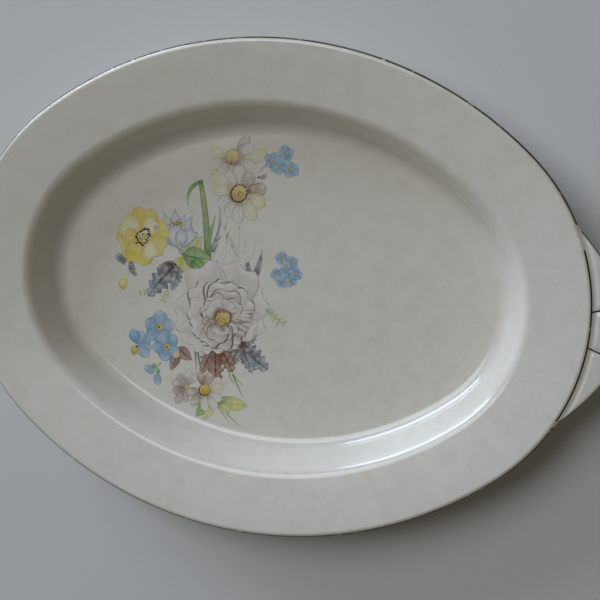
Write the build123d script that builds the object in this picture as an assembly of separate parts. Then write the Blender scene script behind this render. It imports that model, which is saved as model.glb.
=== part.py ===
from build123d import *

import math
import os

# A china serving platter: oval, with a wide flange, a sunk well and two lug handles.
#
# Millimetres, +Z up.  The platter lies flat, as it does on a table.  The origin is the
# centre of its foot, X runs along the long axis from the left lug to the right one, and
# Y runs across.  Every ring of the platter follows one four-centre oval, so each is an
# exact arc round one of four upright axes.
#
# Sections are drawn flat, as (inset from the oval's edge, height above the table).

# Plan of the oval
OVAL_LENGTH = 330.0
OVAL_WIDTH = 254.0
END_RADIUS = 105.0

# Section of the glazed dish, given along the middle of its wall
RIM_HEIGHT = 33.0
WALL_THICKNESS = 4.6
GLAZE_THICKNESS = 0.3
FLANGE_WIDTH = 29.2
FLANGE_FALL = 4.7
WALL_RUN = 10.3
LIP_RADIUS = 4.0
CORNER_RADIUS = 10.0

# Foot ring, bare on its underside
FOOT_HEIGHT = 3.7
FOOT_TOP_WIDTH = 6.0
FOOT_SOLE_WIDTH = 3.0
FOOT_SETBACK = 1.5
FOOT_WIPE = 0.8
FLOOR_OVERLAP = 4.0

# Lug handles
LUG_THICKNESS = 3.6
LUG_STEP = 0.8
LUG_REACH = 18.5
LUG_ROOT_HALF_WIDTH = 48.0
LUG_SIDE_RADIUS = 120.0
LUG_TIP_RADIUS = 26.0
LUG_ROOT_TAIL = 14.0
LUG_ROOT_DEPTH = 3.5
LUG_EDGE_ROUND = LUG_THICKNESS * 4 / 9
ROOT_GROOVE_RADIUS = 2.0
ROOT_GROOVE_DEPTH = 0.6
FAN_GROOVE_RADIUS = 4.5
FAN_GROOVE_DEPTH = 0.6
FAN_ANGLE = 17.8
FAN_CENTRE_INSET = 28.0

# Painted lines and transfer films, fired on top of the glaze
FILM = 0.06
EDGE_LINE_FROM = -10.0
EDGE_LINE_TO = 50.0
ROOT_LINE_FROM = 45.0
ROOT_LINE_TO = 75.0
LINE_GAP_ANGLE = 1.2
LUG_LINE_HEIGHT = 1.7
FAN_LINE_WIDTH = 0.7
FAN_LINE_START = 3.0
SPRAY_REACH = 81.5
SPRAY_MARGIN = 0.6

# The oval's four arcs, from its length, width and end radius
HALF_LENGTH = OVAL_LENGTH / 2
HALF_WIDTH = OVAL_WIDTH / 2
SIDE_RADIUS = (HALF_LENGTH**2 + HALF_WIDTH**2 - 2 * HALF_LENGTH * END_RADIUS) / (
    2 * (HALF_WIDTH - END_RADIUS)
)
END_OFFSET = HALF_LENGTH - END_RADIUS
SIDE_OFFSET = SIDE_RADIUS - HALF_WIDTH
END_HALF_ANGLE = math.degrees(math.atan2(SIDE_OFFSET, END_OFFSET))

# Places along the section that other pieces need
NOSE_RADIUS = WALL_THICKNESS / 2
NOSE_HEIGHT = RIM_HEIGHT - NOSE_RADIUS
FLOOR_MIDDLE = FOOT_HEIGHT + NOSE_RADIUS
FLOOR_TOP = FLOOR_MIDDLE + NOSE_RADIUS
LIP_INSET = NOSE_RADIUS + FLANGE_WIDTH
CORNER_INSET = LIP_INSET + WALL_RUN
WALL_DROP = NOSE_HEIGHT - FLANGE_FALL - FLOOR_MIDDLE
CORNER_TURN = math.atan2(WALL_DROP, WALL_RUN)
FLOOR_INSET = CORNER_INSET + CORNER_RADIUS * math.tan(CORNER_TURN / 2)
FOOT_INSET = FLOOR_INSET + FOOT_SETBACK
RING_END = FOOT_INSET + FOOT_TOP_WIDTH + FLOOR_OVERLAP
LUG_TOP = RIM_HEIGHT - LUG_STEP
LUG_HALF_ANGLE = math.degrees(math.asin(LUG_ROOT_HALF_WIDTH / END_RADIUS))

BISCUIT = -GLAZE_THICKNESS
GLAZED = 0.0


def direction(angle):
    """Level unit vector at an angle in degrees from +X."""
    return Vector(math.cos(math.radians(angle)), math.sin(math.radians(angle)), 0)


def oval_arcs():
    """Centre, radius, start and sweep of the oval's four arcs, right end first."""
    side_sweep = 180 - 2 * END_HALF_ANGLE
    end_sweep = 2 * END_HALF_ANGLE
    return [
        (Vector(END_OFFSET, 0), END_RADIUS, -END_HALF_ANGLE, end_sweep),
        (Vector(0, -SIDE_OFFSET), SIDE_RADIUS, END_HALF_ANGLE, side_sweep),
        (Vector(-END_OFFSET, 0), END_RADIUS, 180 - END_HALF_ANGLE, end_sweep),
        (Vector(0, SIDE_OFFSET), SIDE_RADIUS, 180 + END_HALF_ANGLE, side_sweep),
    ]


def oval_face(inset):
    """Flat oval, set in from the platter's edge."""
    edges = [
        CenterArc(centre, radius - inset, start, sweep)
        for centre, radius, start, sweep in oval_arcs()
    ]
    return make_face(edges)


def carry(section, centre, radius, start, sweep):
    """Turn a section about an upright axis, keeping its inset from that arc's edge."""
    outward = direction(start)
    upright = Plane(
        origin=centre + outward * radius,
        x_dir=-outward,
        z_dir=Vector(0, 0, 1).cross(outward),
    )
    return revolve(upright * section, axis=Axis(centre, (0, 0, 1)), revolution_arc=sweep)


def ring(section):
    """Carry a section round the whole oval."""
    sectors = [carry(section, *arc) for arc in oval_arcs()]
    return sectors[0] + sectors[1] + sectors[2] + sectors[3]


def flat_band(low, high, inset_from, inset_to):
    """Rectangle in a section, between two heights and two insets."""
    width = inset_to - inset_from
    return Pos(inset_from, low) * Rectangle(width, high - low, align=(Align.MIN, Align.MIN))


def dish_section(grow):
    """Section of the flange, wall and outer floor; grow is 0 glazed, negative for biscuit."""
    middle = FilletPolyline(
        (NOSE_RADIUS, NOSE_HEIGHT),
        (LIP_INSET, NOSE_HEIGHT - FLANGE_FALL),
        (CORNER_INSET, FLOOR_MIDDLE),
        (RING_END + WALL_THICKNESS, FLOOR_MIDDLE),
        radius=[LIP_RADIUS, CORNER_RADIUS],
    )
    outline = offset(middle, amount=NOSE_RADIUS + grow, side=Side.BOTH)
    beyond = flat_band(0, RIM_HEIGHT, RING_END, RING_END + 3 * WALL_THICKNESS)
    return make_face(outline.edges()) - beyond


def coat_section():
    """Section of the glaze, in one skin round the dish and down the foot's sides."""
    glazed = dish_section(GLAZED) + foot_section(GLAZED)
    biscuit = dish_section(BISCUIT) + foot_section(BISCUIT)
    return glazed - biscuit - flat_band(-FOOT_HEIGHT, FOOT_WIPE, 0, HALF_WIDTH)


def foot_section(grow):
    """Section of the foot ring, narrowing to its sole."""
    taper = (FOOT_TOP_WIDTH - FOOT_SOLE_WIDTH) / 2
    top = FOOT_HEIGHT + GLAZE_THICKNESS
    corners = Polyline(
        (FOOT_INSET, top),
        (FOOT_INSET + taper, 0),
        (FOOT_INSET + taper + FOOT_SOLE_WIDTH, 0),
        (FOOT_INSET + FOOT_TOP_WIDTH, top),
        close=True,
    )
    biscuit = make_face(corners)
    if grow == BISCUIT:
        return biscuit
    return offset(biscuit, amount=GLAZE_THICKNESS, kind=Kind.INTERSECTION)


def floor_plate(low, high):
    """Oval plate that closes a ring's middle."""
    return Pos(0, 0, low) * extrude(oval_face(RING_END), high - low)


def lug_side_centre():
    """Centre of the arc of the right lug's upper side.

    The arc passes through the lug's root on the oval and runs smoothly into the tip's arc,
    so its centre is LUG_SIDE_RADIUS from the root, and from the tip's centre it is that
    less LUG_TIP_RADIUS.
    """
    root = Vector(
        END_OFFSET + math.sqrt(END_RADIUS**2 - LUG_ROOT_HALF_WIDTH**2), LUG_ROOT_HALF_WIDTH
    )
    tip = Vector(HALF_LENGTH + LUG_REACH - LUG_TIP_RADIUS, 0)
    gap = root - tip
    from_tip = LUG_SIDE_RADIUS - LUG_TIP_RADIUS
    along = (from_tip**2 - LUG_SIDE_RADIUS**2 + gap.length**2) / (2 * gap.length)
    across = math.sqrt(from_tip**2 - along**2)
    unit = gap.normalized()
    return tip + unit * along + Vector(-unit.Y, unit.X) * across


def lug_outline(grow):
    """Plan of the right lug: two bulging sides and a round tip, out from the rim's edge."""
    centre = lug_side_centre()
    tip = Vector(HALF_LENGTH + LUG_REACH - LUG_TIP_RADIUS, 0)
    root_rise = math.asin((LUG_ROOT_HALF_WIDTH - centre.Y) / LUG_SIDE_RADIUS)
    tail_angle = math.degrees(root_rise + LUG_ROOT_TAIL / LUG_SIDE_RADIUS)
    blend_angle = math.degrees(math.atan2(-centre.Y, tip.X - centre.X))
    radius = LUG_SIDE_RADIUS + grow
    below = Vector(centre.X, -centre.Y)
    upper = CenterArc(centre, radius, blend_angle, tail_angle - blend_angle)
    lower = CenterArc(below, radius, -tail_angle, tail_angle - blend_angle)
    outline = make_face(
        [
            upper,
            CenterArc(tip, LUG_TIP_RADIUS + grow, -blend_angle, 2 * blend_angle),
            lower,
            Line(lower @ 0, Vector(END_OFFSET, 0)),
            Line(Vector(END_OFFSET, 0), upper @ 1),
        ]
    )
    return outline - Pos(END_OFFSET, 0) * Circle(END_RADIUS - LUG_ROOT_DEPTH)


def lug_blank(grow):
    """The right lug as a round-edged plate, still reaching into the rim's nose."""
    low = LUG_TOP - LUG_THICKNESS - grow
    plate = Pos(0, 0, low) * extrude(lug_outline(grow), LUG_THICKNESS + 2 * grow)
    root = Vector(END_OFFSET, 0)
    outer = [
        edge
        for edge in plate.edges()
        if abs(edge.tangent_at(0.5).Z) < 0.5
        and Vector(edge.position_at(0.5).X - root.X, edge.position_at(0.5).Y).length
        > END_RADIUS
    ]
    return fillet(outer, LUG_EDGE_ROUND + grow)


def lug_grooves(grow):
    """What the lug's relief takes away: a groove along its root and two that fan out."""
    root_height = LUG_TOP + ROOT_GROOVE_RADIUS - ROOT_GROOVE_DEPTH
    path_radius = END_RADIUS + ROOT_GROOVE_RADIUS / 2
    grooves = Pos(END_OFFSET, 0, root_height) * Torus(path_radius, ROOT_GROOVE_RADIUS - grow)
    for side in (1, -1):
        grooves += fan_rod(side, FAN_GROOVE_RADIUS - grow)
    return grooves


def fan_rod(side, radius):
    """Level rod above the lug, along one line of the fan; side is +1 or -1."""
    height = LUG_TOP + FAN_GROOVE_RADIUS - FAN_GROOVE_DEPTH
    start = Vector(HALF_LENGTH - FAN_CENTRE_INSET, 0, height)
    turned = Plane(origin=start, z_dir=direction(side * FAN_ANGLE))
    near = FAN_CENTRE_INSET + NOSE_RADIUS
    length = LUG_REACH + FAN_CENTRE_INSET
    return turned * Pos(0, 0, near) * extrude(Circle(radius), length)


def both_ways(piece):
    """The right-hand piece and its mirror image at the left end."""
    return {"right": piece, "left": mirror(piece, about=Plane.YZ)}


def nose_band(angle_from, angle_to):
    """Thin film on the rim's nose, between two angles above level."""
    middle = Pos(NOSE_RADIUS, NOSE_HEIGHT)
    skin = middle * (Circle(NOSE_RADIUS + FILM) - Circle(NOSE_RADIUS))
    reach = 2 * WALL_THICKNESS
    low = (reach * -math.cos(math.radians(angle_from)), reach * math.sin(math.radians(angle_from)))
    high = (reach * -math.cos(math.radians(angle_to)), reach * math.sin(math.radians(angle_to)))
    wedge = middle * make_face(Polyline((0, 0), low, high, close=True))
    return skin & wedge


def edge_line():
    """The painted line on the rim's nose, along both long sides and up to the lugs."""
    band = nose_band(EDGE_LINE_FROM, EDGE_LINE_TO)
    free = END_HALF_ANGLE - LUG_HALF_ANGLE - LINE_GAP_ANGLE
    right, back, left, front = oval_arcs()
    back_run = (
        carry(band, right[0], right[1], END_HALF_ANGLE - free, free)
        + carry(band, *back)
        + carry(band, left[0], left[1], left[2], free)
    )
    return back_run + mirror(back_run, about=Plane.XZ)


def root_lines():
    """The black lines along the rim's edge where the two lugs leave it."""
    sweep = 2 * (LUG_HALF_ANGLE - LINE_GAP_ANGLE)
    band = nose_band(ROOT_LINE_FROM, ROOT_LINE_TO)
    line = carry(band, Vector(END_OFFSET, 0), END_RADIUS, -sweep / 2, sweep)
    return line + mirror(line, about=Plane.YZ)


def lug_edge_line(glazed_dish):
    """The painted line round the right lug's outer edge."""
    middle = LUG_TOP - LUG_THICKNESS / 2
    reach = 2 * OVAL_LENGTH
    layer = Pos(0, 0, middle) * Box(
        reach, reach, LUG_LINE_HEIGHT, align=(Align.CENTER, Align.CENTER, Align.MIN)
    )
    skin = lug_blank(FILM) - lug_blank(GLAZED)
    clear = Pos(END_OFFSET, 0, 0) * Cylinder(END_RADIUS + FILM, 2 * RIM_HEIGHT)
    return (skin & layer) - lug_grooves(0) - clear - glazed_dish


def fan_lines():
    """Two fine lines laid in the bottoms of the right lug's fan grooves."""
    lines = []
    height = LUG_TOP - FAN_GROOVE_DEPTH
    for side in (1, -1):
        skin = fan_rod(side, FAN_GROOVE_RADIUS) - fan_rod(side, FAN_GROOVE_RADIUS - FILM)
        start = Vector(HALF_LENGTH - FAN_CENTRE_INSET, 0, height - FILM)
        near = FAN_CENTRE_INSET + FAN_LINE_START
        length = LUG_REACH - FAN_LINE_START - 2 * LUG_EDGE_ROUND
        strip = Box(
            length, FAN_LINE_WIDTH, 4 * FILM, align=(Align.MIN, Align.CENTER, Align.MIN)
        )
        turned = Plane(origin=start, x_dir=direction(side * FAN_ANGLE), z_dir=(0, 0, 1))
        lines.append(skin & (turned * Pos(near, 0, 0) * strip))
    return lines[0] + lines[1]


def petals(count, reach, length, width, turn=0.0):
    """A flower's petals, as ellipses set round its middle."""
    shape = Circle(reach - length / 2 + width / 4)
    for index in range(count):
        place = Rot(0, 0, turn + 360 * index / count) * Pos(reach - length / 2, 0)
        shape += place * Ellipse(length / 2, width / 2)
    return shape


def leaf(length, width, turn):
    """A pointed leaf that starts at its stalk and lies at an angle from +X."""
    half = length / 2
    blade = make_face(
        [
            ThreePointArc((0, 0), (half, width / 2), (length, 0)),
            ThreePointArc((length, 0), (half, -width / 2), (0, 0)),
        ]
    )
    return Rot(0, 0, turn) * blade


def stem(width, *points):
    """A fine stem that bends through three points."""
    line = ThreePointArc(*points)
    ribbon = offset(line, amount=width / 2, side=Side.BOTH)
    return make_face(ribbon.edges())


def scattered(shape, places):
    """One shape repeated at each of several places."""
    first = Pos(*places[0]) * shape
    for place in places[1:]:
        first += Pos(*place) * shape
    return first


def spray_shapes():
    """The spray's flowers and leaves in plan, uppermost first, at the printed size."""
    small_flower = petals(5, 5.0, 5.0, 4.4, 18)
    tiny_flower = petals(5, 2.6, 2.6, 2.3, 18)
    cluster = scattered(tiny_flower, [(0, 0), (4.6, 1.6), (-4.4, 1.4), (1.6, -4.6), (-2.8, -3.8), (0.8, 5.0)])
    peony = Pos(-29, -21) * petals(11, 24, 16, 14, 6) + Pos(-46, -6) * petals(7, 11, 8, 8)
    poppy = Pos(-78, 19) * petals(5, 14, 13, 13, 40)
    tulip = Pos(-59, 27) * petals(6, 9, 9, 5.5, 90)
    forget_me_nots = (
        scattered(small_flower, [(-64, -31), (-57.5, -41.5), (-75, -43)])
        + Pos(0, 67) * cluster
        + Pos(6, 11) * cluster
    )
    upper_daisies = Pos(-30, 68) * petals(9, 10, 8, 5, 10) + Pos(-24, 49) * petals(8, 14, 11, 7.5)
    lower_daisies = Pos(-46, -62) * petals(8, 7, 5.5, 3.6) + Pos(-34, -62) * petals(9, 8.5, 7, 4.5)
    green_leaves = (
        Pos(-39, 13) * leaf(20, 11, 168)
        + Pos(-45, 5) * leaf(15, 7, 150)
        + Pos(-28, -63) * leaf(15, 8, -12)
        + Pos(-33, -67) * leaf(11, 8, -75)
    )
    dark_leaves = (
        Pos(-56, 2) * leaf(17, 10, 205)
        + Pos(-13, 2) * leaf(18, 5, 70)
        + Pos(-22, -38) * leaf(22, 13, -8)
        + Pos(-31, -38) * leaf(15, 11, -80)
        + Pos(-40, -38) * leaf(14, 9, 215)
    )
    buds = scattered(Ellipse(3, 2.2), [(-87, -8), (-87, 3), (-63, -52), (-60, -56)])
    stems = (
        stem(1.2, (-38, 12), (-41, 35), (-49, 51))
        + stem(0.9, (-49, 51), (-52, 48), (-51.5, 41))
        + stem(0.7, (-30, -70), (-24, -73), (-12, -78))
        + stem(0.7, (-33, -45), (-28, -54), (-20, -62))
        + stem(0.6, (-8, -8), (-2, -12), (5, -20))
        + stem(0.6, (-74, -17), (-68, -14), (-62, -8))
    )
    return {
        "poppy_transfer": poppy,
        "tulip_transfer": tulip,
        "forget_me_not_transfer": forget_me_nots,
        "peony_transfer": peony,
        "upper_daisy_transfer": upper_daisies,
        "lower_daisy_transfer": lower_daisies,
        "bud_transfer": buds,
        "dark_leaf_transfer": dark_leaves,
        "green_leaf_transfer": green_leaves,
        "stem_transfer": stems,
    }


def spray_films():
    """The spray as thin films on the well's floor, none lying over another."""
    fit = (HALF_WIDTH - FLOOR_INSET - SPRAY_MARGIN) / SPRAY_REACH
    films = {}
    covered = None
    for name, shape in spray_shapes().items():
        free = shape if covered is None else shape - covered
        covered = shape if covered is None else covered + shape
        films[name] = Pos(0, 0, FLOOR_TOP) * extrude(scale(free, fit), FILM)
    return films


def platter():
    """Every piece of the platter, by name."""
    biscuit_low = FOOT_HEIGHT + GLAZE_THICKNESS
    biscuit_top = FLOOR_TOP - GLAZE_THICKNESS
    glazed_dish = ring(dish_section(GLAZED)) + floor_plate(FOOT_HEIGHT, FLOOR_TOP)
    biscuit_dish = ring(dish_section(BISCUIT)) + floor_plate(biscuit_low, biscuit_top)
    foot = ring(foot_section(BISCUIT))

    glazed_lug = lug_blank(GLAZED) - lug_grooves(GLAZED)
    biscuit_lug = lug_blank(BISCUIT) - lug_grooves(BISCUIT)
    lugs = both_ways(biscuit_lug - biscuit_dish)
    lug_coats = both_ways(glazed_lug - biscuit_lug - glazed_dish)

    coat = ring(coat_section())
    coat += floor_plate(FOOT_HEIGHT, biscuit_low) + floor_plate(biscuit_top, FLOOR_TOP)
    for side, lug in lugs.items():
        coat = coat - lug + lug_coats[side]

    pieces = {
        "dish_body": biscuit_dish,
        "foot_ring": foot,
        "right_lug_handle": lugs["right"],
        "left_lug_handle": lugs["left"],
        "glaze_coat": coat,
        "rim_edge_line": edge_line(),
        "lug_root_lines": root_lines(),
    }
    for side, line in both_ways(lug_edge_line(glazed_dish)).items():
        pieces[side + "_lug_edge_line"] = line
    for side, line in both_ways(fan_lines()).items():
        pieces[side + "_fan_lines"] = line
    pieces.update(spray_films())
    return pieces


os.makedirs("parts", exist_ok=True)
for name, solid in platter().items():
    export_step(solid, os.path.join("parts", name + ".step"))
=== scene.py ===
"""An oval china serving platter: ivory glaze, worn metal line and a printed spray of flowers.

Lengths are held in millimetres and turned to metres where a mesh is made.  The frame is the
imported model's own: +Z up out of the well, X along the lugs, the foot's sole at zero.
"""

import logging
import math
import random
from dataclasses import dataclass, field
from enum import Enum
from typing import Any, Iterable, Optional, Sequence, Union

import bmesh
import bpy
from mathutils import Euler, Matrix, Vector


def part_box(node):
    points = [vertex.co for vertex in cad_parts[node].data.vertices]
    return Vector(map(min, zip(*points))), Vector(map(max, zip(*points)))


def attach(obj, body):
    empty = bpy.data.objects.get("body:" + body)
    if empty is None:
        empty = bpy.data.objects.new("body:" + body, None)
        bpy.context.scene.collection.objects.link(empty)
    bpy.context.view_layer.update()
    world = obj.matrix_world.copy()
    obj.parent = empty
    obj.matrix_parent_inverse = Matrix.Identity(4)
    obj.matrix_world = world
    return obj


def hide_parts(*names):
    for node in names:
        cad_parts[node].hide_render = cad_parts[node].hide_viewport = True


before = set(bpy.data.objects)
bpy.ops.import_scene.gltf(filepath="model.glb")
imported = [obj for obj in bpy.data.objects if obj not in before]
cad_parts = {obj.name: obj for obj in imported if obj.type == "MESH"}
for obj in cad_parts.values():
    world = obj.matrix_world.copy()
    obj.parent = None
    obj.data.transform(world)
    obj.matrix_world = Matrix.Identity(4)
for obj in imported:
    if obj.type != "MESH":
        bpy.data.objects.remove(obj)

MM = 0.001
BODY = "root"
GLASS_IOR = 1.52
# Longest straight step in a drawn section, and between the rings that close its middle.
RUN_LENGTH = 8 * MM
# Share of a petal's U left free at each side, so that one petal never reads the next.
UV_MARGIN = 0.002

log = logging.getLogger("platter")
Point = tuple[float, float]
Socket = bpy.types.NodeSocket


# --- Colours and nodes -------------------------------------------------------------------


def linear(hex_colour: str) -> tuple[float, float, float, float]:
    """Turn an sRGB hex colour into the linear RGBA that shaders use.

    Args:
        hex_colour: colour as "#rrggbb".

    Returns:
        Linear red, green, blue and an alpha of 1.
    """
    digits = hex_colour.lstrip("#")
    channels = [int(digits[place : place + 2], 16) / 255 for place in (0, 2, 4)]
    curved = [
        value / 12.92 if value <= 0.04045 else ((value + 0.055) / 1.055) ** 2.4
        for value in channels
    ]
    return (curved[0], curved[1], curved[2], 1.0)


def per_mm(size: float) -> float:
    """Texture scale whose features are a size in millimetres, on metre coordinates."""
    return 1.0 / (size * MM)


def add_node(
    tree: bpy.types.NodeTree,
    kind: str,
    inputs: Optional[dict[Union[int, str], Any]] = None,
    **settings: Any,
) -> bpy.types.Node:
    """Add one shader node with its settings, values and links.

    Args:
        tree: node tree that gets the node.
        kind: node type without its "ShaderNode" prefix.
        inputs: input name or index to a value, or to the output socket that feeds it.
        settings: the node's own properties.

    Returns:
        The new node.
    """
    node = tree.nodes.new("ShaderNode" + kind)
    for name, value in settings.items():
        setattr(node, name, value)
    for key, value in (inputs or {}).items():
        if isinstance(value, Socket):
            tree.links.new(value, node.inputs[key])
        else:
            node.inputs[key].default_value = value
    return node


def calculate(tree: bpy.types.NodeTree, operation: str, *values: Any) -> Socket:
    """Result of one Math node, clamped where the operation's name ends in "_CLAMPED".

    Args:
        tree: node tree that gets the node.
        operation: the node's operation, with _CLAMPED after it for a clamped result.
        values: its inputs in order, each a number or the socket that feeds it.

    Returns:
        The node's output.
    """
    clamped = operation.endswith("_CLAMPED")
    node = add_node(
        tree,
        "Math",
        dict(enumerate(values)),
        operation=operation.removesuffix("_CLAMPED"),
        use_clamp=clamped,
    )
    return node.outputs[0]


def smooth_step(tree: bpy.types.NodeTree, value: Any, low: Any, high: Any) -> Socket:
    """A 0 to 1 ramp with soft ends, between two limits."""
    inputs = {"Value": value, "From Min": low, "From Max": high}
    return add_node(tree, "MapRange", inputs, interpolation_type="SMOOTHSTEP").outputs[0]


def blend(tree: bpy.types.NodeTree, factor: Any, first: Any, second: Any) -> Socket:
    """Colour mixed from a first to a second colour."""
    inputs = {0: factor, 6: first, 7: second}
    return add_node(tree, "Mix", inputs, data_type="RGBA").outputs[2]


def new_material(name: str) -> tuple[bpy.types.Material, bpy.types.NodeTree, bpy.types.Node]:
    """An empty node material with one Principled shader.

    Args:
        name: the material's name.

    Returns:
        The material, its node tree and the shader.
    """
    material = bpy.data.materials.new(name)
    material.use_nodes = True
    tree = material.node_tree
    tree.nodes.clear()
    shader = add_node(tree, "BsdfPrincipled")
    add_node(tree, "OutputMaterial", {"Surface": shader.outputs["BSDF"]})
    return material, tree, shader


# --- Finishes ----------------------------------------------------------------------------


@dataclass(frozen=True)
class IvoryGlaze:
    """Lead-free ivory glaze, dipped and fired glossy over a buff body.

    The eye sees a deep wet gloss with a slow ripple, a faintly mottled cream, a net of
    hair-fine crazing that old glaze has, and a few pinholes.
    """

    body: str = "#E9E4D6"
    mottle: str = "#E3DCCB"
    craze: str = "#B9AE98"
    pinhole: str = "#6F6557"
    craze_amount: float = 0.12
    roughness: float = 0.13
    ripple_mm: float = 26.0
    mottle_mm: float = 9.0
    craze_mm: float = 3.4
    pinhole_mm: float = 11.0

    def material(self) -> bpy.types.Material:
        """Build the glaze's material.

        Returns:
            The material.
        """
        material, tree, shader = new_material("ivory_glaze")
        colour = self.colour(tree)
        tree.links.new(colour, shader.inputs["Base Color"])
        shader.inputs["Roughness"].default_value = self.roughness
        shader.inputs["IOR"].default_value = GLASS_IOR
        shader.inputs["Coat Weight"].default_value = 0.35
        shader.inputs["Coat Roughness"].default_value = 0.05
        tree.links.new(self.ripple(tree), shader.inputs["Normal"])
        return material

    def colour(self, tree: bpy.types.NodeTree) -> Socket:
        """The glaze's colour, with mottle, crazing and pinholes.

        Args:
            tree: the material's node tree.

        Returns:
            The colour's socket.
        """
        place = add_node(tree, "TexCoord").outputs["Object"]
        cloud = add_node(
            tree,
            "TexNoise",
            {"Vector": place, "Scale": per_mm(self.mottle_mm), "Detail": 5.0, "Roughness": 0.62},
        ).outputs["Fac"]
        colour = blend(
            tree, smooth_step(tree, cloud, 0.38, 0.78), linear(self.body), linear(self.mottle)
        )
        patches = add_node(
            tree, "TexNoise", {"Vector": place, "Scale": per_mm(60.0), "Detail": 2.0}
        ).outputs["Fac"]
        bent = add_node(
            tree,
            "TexNoise",
            {"Vector": place, "Scale": per_mm(5.0), "Detail": 2.0},
        ).outputs["Color"]
        wander = add_node(tree, "VectorMath", {0: bent, "Scale": 0.9 * MM}, operation="SCALE")
        crazed_place = add_node(
            tree, "VectorMath", {0: place, 1: wander.outputs[0]}, operation="ADD"
        ).outputs[0]
        # The cracks keep their real spacing, and are drawn a little wider so that they show.
        cells = add_node(
            tree,
            "TexVoronoi",
            {"Vector": crazed_place, "Scale": per_mm(self.craze_mm)},
            feature="DISTANCE_TO_EDGE",
        ).outputs["Distance"]
        hairline = calculate(tree, "SUBTRACT", 1.0, smooth_step(tree, cells, 0.0, 0.045))
        shown = calculate(tree, "MULTIPLY", hairline, smooth_step(tree, patches, 0.42, 0.62))
        colour = blend(
            tree, calculate(tree, "MULTIPLY", shown, self.craze_amount), colour, linear(self.craze)
        )
        spots = add_node(
            tree, "TexVoronoi", {"Vector": place, "Scale": per_mm(self.pinhole_mm)}
        )
        chosen = add_node(tree, "SeparateColor", {0: spots.outputs["Color"]}).outputs[0]
        dot = calculate(tree, "LESS_THAN", spots.outputs["Distance"], 0.035)
        dots = calculate(tree, "MULTIPLY", dot, calculate(tree, "GREATER_THAN", chosen, 0.86))
        return blend(tree, calculate(tree, "MULTIPLY", dots, 0.55), colour, linear(self.pinhole))

    def ripple(self, tree: bpy.types.NodeTree) -> Socket:
        """The slow ripple that a dipped glaze sets with, and a fine orange peel on it.

        Args:
            tree: the material's node tree.

        Returns:
            The surface normal's socket.
        """
        place = add_node(tree, "TexCoord").outputs["Object"]
        slow = add_node(
            tree,
            "TexNoise",
            {"Vector": place, "Scale": per_mm(self.ripple_mm), "Detail": 1.5},
        ).outputs["Fac"]
        fine = add_node(
            tree, "TexNoise", {"Vector": place, "Scale": per_mm(2.2), "Detail": 2.0}
        ).outputs["Fac"]
        first = add_node(
            tree, "Bump", {"Height": slow, "Strength": 0.5, "Distance": 0.22 * MM}
        ).outputs["Normal"]
        return add_node(
            tree,
            "Bump",
            {"Height": fine, "Strength": 0.35, "Distance": 0.010 * MM, "Normal": first},
        ).outputs["Normal"]


@dataclass(frozen=True)
class FiredClay:
    """Earthenware body, pressed, fired once and left bare: matt buff with a fine grit."""

    body: str = "#CFC4AE"
    grit: str = "#9C8B70"
    grit_mm: float = 0.5

    def material(self) -> bpy.types.Material:
        """Build the bare clay's material.

        Returns:
            The material.
        """
        material, tree, shader = new_material("fired_clay")
        place = add_node(tree, "TexCoord").outputs["Object"]
        grain = add_node(
            tree,
            "TexNoise",
            {"Vector": place, "Scale": per_mm(self.grit_mm), "Detail": 4.0},
        ).outputs["Fac"]
        colour = blend(
            tree, smooth_step(tree, grain, 0.45, 0.8), linear(self.body), linear(self.grit)
        )
        tree.links.new(colour, shader.inputs["Base Color"])
        shader.inputs["Roughness"].default_value = 0.85
        bump = add_node(tree, "Bump", {"Height": grain, "Strength": 0.4, "Distance": 0.05 * MM})
        tree.links.new(bump.outputs["Normal"], shader.inputs["Normal"])
        return material


@dataclass(frozen=True)
class LinerPaint:
    """A line drawn with a liner's brush and fired on: even at first, rubbed with use.

    The eye sees a thin dark line that breaks up into the ivory where it is worn.
    """

    name: str
    paint: str
    tarnish: str
    bare: str = "#E4DFD1"
    wear: float = 0.5
    wear_mm: float = 5.0
    metallic: float = 0.0
    roughness: float = 0.3

    def material(self) -> bpy.types.Material:
        """Build the line's material.

        Returns:
            The material.
        """
        material, tree, shader = new_material(self.name)
        place = add_node(tree, "TexCoord").outputs["Object"]
        rub = add_node(
            tree,
            "TexNoise",
            {"Vector": place, "Scale": per_mm(self.wear_mm), "Detail": 6.0, "Roughness": 0.7},
        ).outputs["Fac"]
        tone = add_node(
            tree, "TexNoise", {"Vector": place, "Scale": per_mm(14.0), "Detail": 3.0}
        ).outputs["Fac"]
        colour = blend(
            tree, smooth_step(tree, tone, 0.35, 0.65), linear(self.paint), linear(self.tarnish)
        )
        worn = smooth_step(tree, rub, 1.02 - self.wear, 1.1 - self.wear)
        tree.links.new(
            blend(tree, worn, colour, linear(self.bare)), shader.inputs["Base Color"]
        )
        metal = calculate(
            tree, "MULTIPLY", calculate(tree, "SUBTRACT", 1.0, worn), self.metallic
        )
        tree.links.new(metal, shader.inputs["Metallic"])
        shader.inputs["Roughness"].default_value = self.roughness
        return material


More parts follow.
